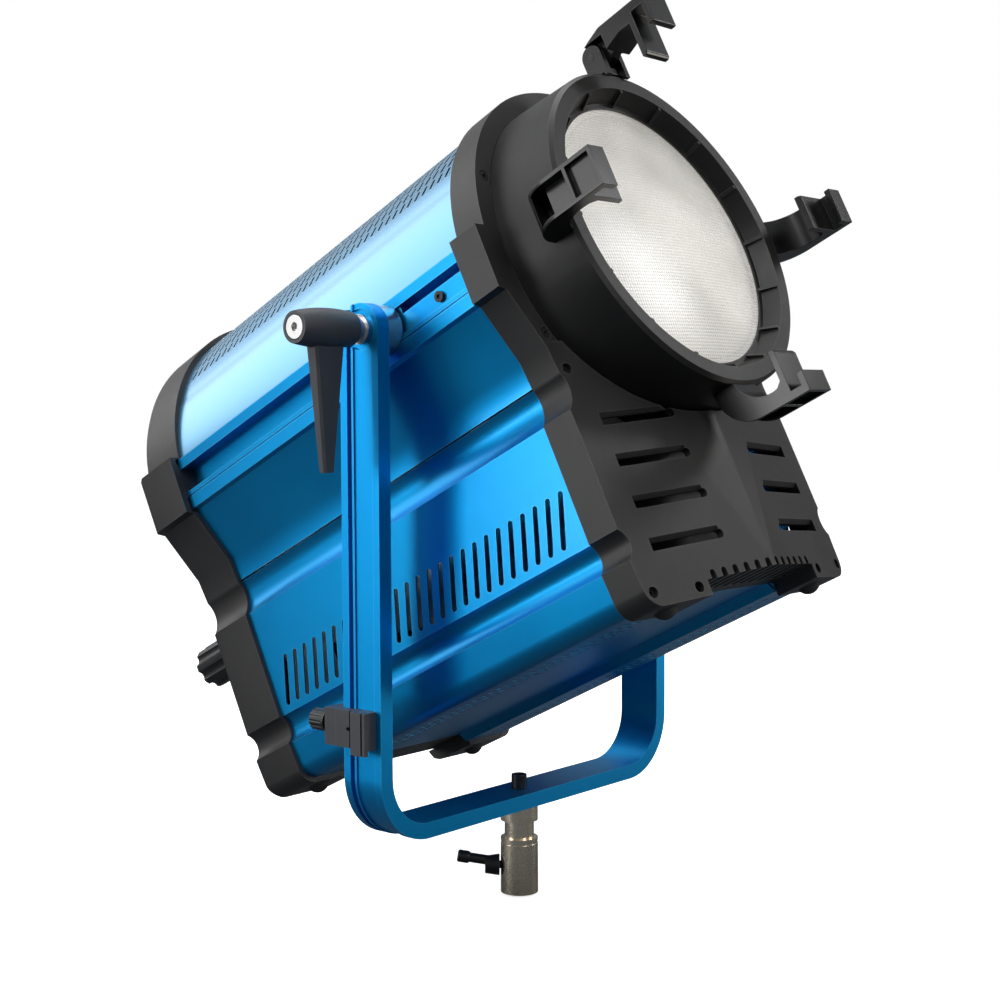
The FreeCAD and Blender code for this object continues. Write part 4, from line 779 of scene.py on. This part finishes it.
shell_parts = [crown]
for side in (1, -1):
    shoulder = crown_arc(sheet_angle * side, crease_angle * side, 4)
    shoulder += arc_points((CREASE[0] * side, CREASE[1]), (130.6 * side, 43.5), (137.0 * side, 17.0), 14)
    shell_parts.append(trace_profile(shoulder, FRONT, BACK, "shoulder"))
for first, last in ((FRONT, middle_s + sheet_half), (middle_s - sheet_half, BACK)):
    end_arc = crown_arc(-sheet_angle, sheet_angle, crown_rows)
    shell_parts.append(trace_profile(end_arc, first, last, "crown_end"))
top_shell = join(shell_parts, "top_shell_punched")
outward(top_shell)
facing_in = [face for face in top_shell.data.polygons if face.normal.z < 0 and face.center.z > 0.1]
if len(facing_in) > len(top_shell.data.polygons) / 2:
    top_shell.data.flip_normals()
modify(top_shell, "SOLIDIFY", thickness=SHEET_WALL, offset=-1.0, use_even_offset=False)
settle(top_shell, HEAD)
smooth(top_shell, 30.0)
# The crown's slot is the anodised blue, but it takes the paler copy, a painted highlight.
finish_piece(top_shell, "head", "anodised_blue", crown_blue_painted_highlight, "top_shell")

# %% [markdown]
# ### Waved sides
#
# Each side is an extrusion with two hollow waves, a row of long leaning vents and a rounded bottom
# corner. The vents are cut with one boolean: a rounded slot is modelled once, leaned over, repeated
# with an array and subtracted. The far side is the same panel mirrored.

# %% Waved side panels
LOW_HALF = 121.0
VENT_PITCH = 11.9
VENT_COUNT = 26
VENT_LEAN = math.radians(22.0)


def side_profile():
    half = LOW_HALF
    floor_z = -249.5
    corner = 12.5
    centre_x = half - 2.0 - corner
    points = [(half - 3.0, -88.0)]
    points += arc_points(points[-1], (half - 6.2, -101.5), (half, -114.5), 18)
    points += [(half, -156.5), (half, -198.5)]
    points += arc_points(points[-1], (half - 6.0, -208.5), (half - 0.3, -219.5), 16)
    points += [(half - 2.0, floor_z + corner)]
    reach = corner * math.sqrt(0.5)
    points += arc_points(points[-1], (centre_x + reach, floor_z + corner - reach), (centre_x, floor_z), 8)
    return points + [(99.8, floor_z)]


def vent_cutters():
    """Row of rounded slot plugs through the flat of the panel."""
    clear_selection()
    bpy.ops.mesh.primitive_cylinder_add(vertices=16, radius=2.3 * MM, depth=12.0 * MM,
                                        location=(LOW_HALF * MM, 0.0, 0.0), rotation=(0.0, math.pi / 2, 0.0))
    cutter = start("vent_cutter")
    settle(cutter)
    edit_mode("VERT")
    mesh = bmesh.from_edit_mesh(cutter.data)
    for vertex in mesh.verts:
        vertex.select_set(vertex.co.z > 0.0001)
    bmesh.update_edit_mesh(cutter.data)
    bpy.ops.transform.translate(value=(0.0, 0.0, 17.2 * MM))
    bpy.ops.mesh.select_all(action="INVERT")
    bpy.ops.transform.translate(value=(0.0, 0.0, -17.2 * MM))
    object_mode()
    first_s = FRONT - 16.0
    turn = Matrix.Rotation(VENT_LEAN, 4, "X")
    cutter.data.transform(Matrix.Translation(Vector((0.0, -first_s, -175.0)) * MM) @ turn)
    modify(cutter, "ARRAY", count=VENT_COUNT, use_relative_offset=False, use_constant_offset=True,
           constant_offset_displace=(0.0, VENT_PITCH * MM, 0.0))
    return cutter


side_far = trace_profile(side_profile(), FRONT, BACK, "side_far")
outward(side_far)
if sum(face.normal.x for face in side_far.data.polygons) < 0:
    side_far.data.flip_normals()
modify(side_far, "SOLIDIFY", thickness=SHEET_WALL, offset=-1.0, use_even_offset=True)
cutter = vent_cutters()
modify(side_far, "BOOLEAN", operation="DIFFERENCE", solver="EXACT", object=cutter)
bpy.data.objects.remove(cutter)
side_near = duplicate(side_far, Matrix.Scale(-1.0, 4, Vector((1.0, 0.0, 0.0))), "side_near")
for panel, replaced in ((side_far, "side_panel_far"), (side_near, "side_panel_near")):
    panel.name = replaced + "_waved"
    settle(panel, HEAD)
    smooth(panel, 30.0)
    modify(panel, "WEIGHTED_NORMAL", keep_sharp=True)
    finish_piece(panel, "head", "anodised_blue", anodised, replaced)

# %% [markdown]
# ### Bottom cover
#
# The bottom cover has a raised channel down its middle and a punched strip along each edge that lets
# cool air in. The strips reuse the slotted sheet, without the rolling.

# %% Bottom cover
BASE_LOW = -249.5
BASE_HIGH = -242.5
BASE_HALF = 99.5
CHANNEL_FOOT = 63.0
CHANNEL_HALF = 58.0
strip_columns = int((FRONT - BACK - 24.0) / SLOT_PITCH)
strip_half = strip_columns * SLOT_PITCH / 2
strip_outer = 97.0
strip_inner = strip_outer - 2 * SLOT_ROW
base_parts = []
for side in (1, -1):
    strip_sheet = slotted_sheet("base_strip", strip_columns, 2, slot_width=2.6, slot_length=8.8, lean=0.0)
    centre = Vector((side * (strip_outer + strip_inner) / 2, -middle_s, BASE_LOW)) * MM
    strip_sheet.data.transform(Matrix.Translation(centre))
    base_parts.append(strip_sheet)
    lip = [(side * BASE_HALF, BASE_LOW), (side * strip_outer, BASE_LOW)]
    base_parts.append(trace_profile(lip, FRONT, BACK, "lip"))
    channel = [(side * strip_inner, BASE_LOW), (side * CHANNEL_FOOT, BASE_LOW),
               (side * CHANNEL_HALF, BASE_HIGH), (0.0, BASE_HIGH)]
    base_parts.append(trace_profile(channel, FRONT, BACK, "channel"))
    for first, last in ((FRONT, middle_s + strip_half), (middle_s - strip_half, BACK)):
        ends = [(side * x, BASE_LOW) for x in (strip_outer, strip_outer - SLOT_ROW, strip_inner)]
        base_parts.append(trace_profile(ends, first, last, "strip_end"))
base_cover = join(base_parts, "base_panel_punched")
outward(base_cover)
if sum(face.normal.z * face.area for face in base_cover.data.polygons) > 0:
    base_cover.data.flip_normals()
modify(base_cover, "SOLIDIFY", thickness=SKIN_WALL, offset=-1.0, use_even_offset=False)
settle(base_cover, HEAD)
smooth(base_cover, 30.0)
finish_piece(base_cover, "head", "anodised_blue", anodised, "base_panel")

# %% [markdown]
# ## The lens
#
# A fresnel lens keeps the curve of a thick lens but drops the glass behind it: the front is a gentle
# dome with a stipple, and the back is cut into rings. One profile line holds both sides, and spinning
# it about the lens axis makes the solid.

# %% Spun lens
LENS_RADIUS = 104.0
LENS_FRONT = 149.0
LENS_DOME = 6.0
LENS_RINGS = 14


def lens_profile():
    """Closed half section as (radius, s) points, from the middle of the front round to the back."""
    points = []
    for k in range(25):
        radius = (LENS_RADIUS - 8.0) * k / 24
        points.append((radius, LENS_FRONT + LENS_DOME * math.cos(math.pi / 2 * k / 24)))
    points += [(LENS_RADIUS - 7.2, LENS_FRONT - 0.6), (LENS_RADIUS - 0.6, LENS_FRONT - 0.4),
               (LENS_RADIUS, LENS_FRONT - 1.0), (LENS_RADIUS, LENS_FRONT - 5.0)]
    outer = LENS_RADIUS - 8.0
    for k in range(LENS_RINGS):
        high = outer * (LENS_RINGS - k) / LENS_RINGS
        low = outer * (LENS_RINGS - k - 1) / LENS_RINGS
        points += [(high, LENS_FRONT - 5.0), (low + 0.4, LENS_FRONT - 3.4)]
    return points + [(0.0, LENS_FRONT - 4.9)]


def spin_profile(profile, name, steps=96):
    """Spins (radius, s) points about the lens axis, in the level head frame."""
    clear_selection()
    bpy.ops.mesh.primitive_plane_add(size=0.01, location=(0.0, 0.0, 0.0))
    piece = start(name)
    edit_mode("VERT")
    bpy.ops.mesh.select_all(action="SELECT")
    bpy.ops.mesh.merge(type="CENTER")
    here = Vector((profile[0][0], -profile[0][1], 0.0)) * MM
    bpy.ops.transform.translate(value=here)
    for radius, s in profile[1:]:
        there = Vector((radius, -s, 0.0)) * MM
        bpy.ops.mesh.extrude_region_move(TRANSFORM_OT_translate={"value": there - here})
        here = there
    bpy.ops.mesh.select_all(action="SELECT")
    bpy.ops.mesh.spin(steps=steps, angle=2 * math.pi, center=(0.0, 0.0, 0.0), axis=(0.0, 1.0, 0.0))
    object_mode()
    return outward(piece)


lens = spin_profile(lens_profile(), "fresnel_lens_stippled")
settle(lens, HEAD)
smooth(lens, 30.0)
finish_piece(lens, "head", "lens_glass", lens_glass, "fresnel_lens")

# %% [markdown]
# ## Studio
#
# A plain pale floor under a white room. The floor and the world are white to the camera only: to the
# lamp they are dim, so the blue keeps its depth and the blacks stay black.

# %% Floor
clear_selection()
bpy.ops.mesh.primitive_plane_add(size=14.0, location=(0.0, 0.0, -0.002))
floor = start("studio_floor")
settle(floor)
floor_paint = bpy.data.materials.new("studio_floor")
floor_paint.use_nodes = True
floor_tree = floor_paint.node_tree
floor_shader = shader_of(floor_paint)
floor_shader.inputs["Base Color"].default_value = (0.93, 0.93, 0.93, 1.0)
floor_shader.inputs["Roughness"].default_value = 0.8
floor_shader.inputs["Emission Color"].default_value = (1.0, 1.0, 1.0, 1.0)
floor_shader.inputs["Emission Strength"].default_value = 0.75
floor_dark = node(floor_tree, "ShaderNodeBsdfDiffuse")
floor_dark.inputs["Color"].default_value = (0.10, 0.11, 0.12, 1.0)
floor_ray = node(floor_tree, "ShaderNodeLightPath")
floor_mix = node(floor_tree, "ShaderNodeMixShader")
floor_output = next(n for n in floor_tree.nodes if n.type == "OUTPUT_MATERIAL")
floor_tree.links.new(floor_ray.outputs["Is Camera Ray"], floor_mix.inputs[0])
floor_tree.links.new(floor_dark.outputs[0], floor_mix.inputs[1])
floor_tree.links.new(floor_shader.outputs[0], floor_mix.inputs[2])
floor_tree.links.new(floor_mix.outputs[0], floor_output.inputs["Surface"])
floor.data.materials.append(floor_paint)

# %% [markdown]
# ### Lights
#
# Large soft boxes, as a product studio has. A metal surface shows what it mirrors, so each box stands
# where one surface looks: the back box feeds the crown and shoulder, the side box the waved panel, the
# low strip the lower wave, and the two on the right the barrel's rim and the spigot.

# %% Lights


def soft_light(name, place, aim, width, height, power, colour=(1.0, 1.0, 1.0)):
    light = bpy.data.lights.new(name, "AREA")
    light.shape = "RECTANGLE"
    light.size = width
    light.size_y = height
    light.energy = power
    light.color = colour
    lamp = bpy.data.objects.new(name, light)
    lamp.location = place
    lamp.rotation_euler = (Vector(aim) - Vector(place)).to_track_quat("-Z", "Y").to_euler()
    bpy.context.scene.collection.objects.link(lamp)
    return lamp


middle = (0.0, 0.0, 0.38)
soft_light("key", (-1.7, 0.1, 2.2), middle, 1.4, 1.4, 34.0)
soft_light("top", (0.4, 0.6, 2.6), middle, 2.0, 1.4, 26.0)
soft_light("back box", (-1.05, 2.3, 1.5), middle, 2.4, 1.7, 25.0)
soft_light("side", (-2.2, 1.1, 0.45), middle, 0.9, 1.0, 13.5)
soft_light("front", (-0.5, -2.8, 1.7), middle, 1.0, 1.2, 26.0)
soft_light("sparkle", (1.9, -1.3, 1.85), (0.0, -0.2, 0.55), 0.4, 0.6, 9.0)
soft_light("low right", (1.7, -1.5, 0.35), (0.0, 0.0, 0.2), 0.5, 0.9, 9.0, (1.0, 0.93, 0.84))
soft_light("wave strip", (-2.2, 1.2, -0.05), (0.0, 0.0, 0.25), 0.35, 0.5, 5.0)

# %% [markdown]
# ### World
#
# The room brightens with height and towards the back wall, which gives rounded metal a soft gradient
# instead of one flat tone.

# %% World
world = bpy.data.worlds.new("studio_world")
bpy.context.scene.world = world
world.use_nodes = True
world_tree = world.node_tree
backdrop = next(n for n in world_tree.nodes if n.type == "BACKGROUND")
backdrop.inputs["Color"].default_value = (1.0, 1.0, 1.0, 1.0)
room = node(world_tree, "ShaderNodeBackground")
room_direction = node(world_tree, "ShaderNodeTexCoord")
room_split = node(world_tree, "ShaderNodeSeparateXYZ")
world_tree.links.new(room_direction.outputs["Generated"], room_split.inputs[0])
room_height = remap(world_tree, room_split.outputs["Z"], -0.05, 0.75, 0.07, 0.4)
room_rear = remap(world_tree, room_split.outputs["Y"], 0.6, 0.95, 0.0, 0.4)
world_tree.links.new(math_node(world_tree, "ADD", room_height, room_rear), room.inputs["Strength"])
room.inputs["Color"].default_value = (0.95, 0.97, 1.0, 1.0)
ray = node(world_tree, "ShaderNodeLightPath")
blend_sky = node(world_tree, "ShaderNodeMixShader")
world_tree.links.new(ray.outputs["Is Camera Ray"], blend_sky.inputs[0])
world_tree.links.new(room.outputs[0], blend_sky.inputs[1])
world_tree.links.new(backdrop.outputs[0], blend_sky.inputs[2])
world_output = next(n for n in world_tree.nodes if n.type == "OUTPUT_WORLD")
world_tree.links.new(blend_sky.outputs[0], world_output.inputs["Surface"])
bpy.context.scene.view_settings.view_transform = "Standard"

# %% [markdown]
# ## Camera
#
# A moderately long lens, about a metre and a quarter away, low and to the lamp's right-hand side, as
# a buyer would stand to see both the vents and the lens.

# %% Camera
camera_azimuth = math.radians(-49.34)
camera_drop = math.radians(3.5)
camera_roll = math.radians(-0.25)
camera_place = Vector((-0.963, -0.8091, tilt_centre.z - 0.0469))
camera_data = bpy.data.cameras.new("camera")
camera_data.sensor_width = 36.0
camera_data.lens = 59.9
camera = bpy.data.objects.new("camera", camera_data)
bpy.context.scene.collection.objects.link(camera)
ahead = Vector((-math.sin(camera_azimuth) * math.cos(camera_drop),
                math.cos(camera_azimuth) * math.cos(camera_drop), -math.sin(camera_drop)))
facing = ahead.to_track_quat("-Z", "Y") @ Matrix.Rotation(camera_roll, 4, "Z").to_quaternion()
camera.matrix_world = Matrix.Translation(camera_place) @ facing.to_matrix().to_4x4()
bpy.context.scene.camera = camera
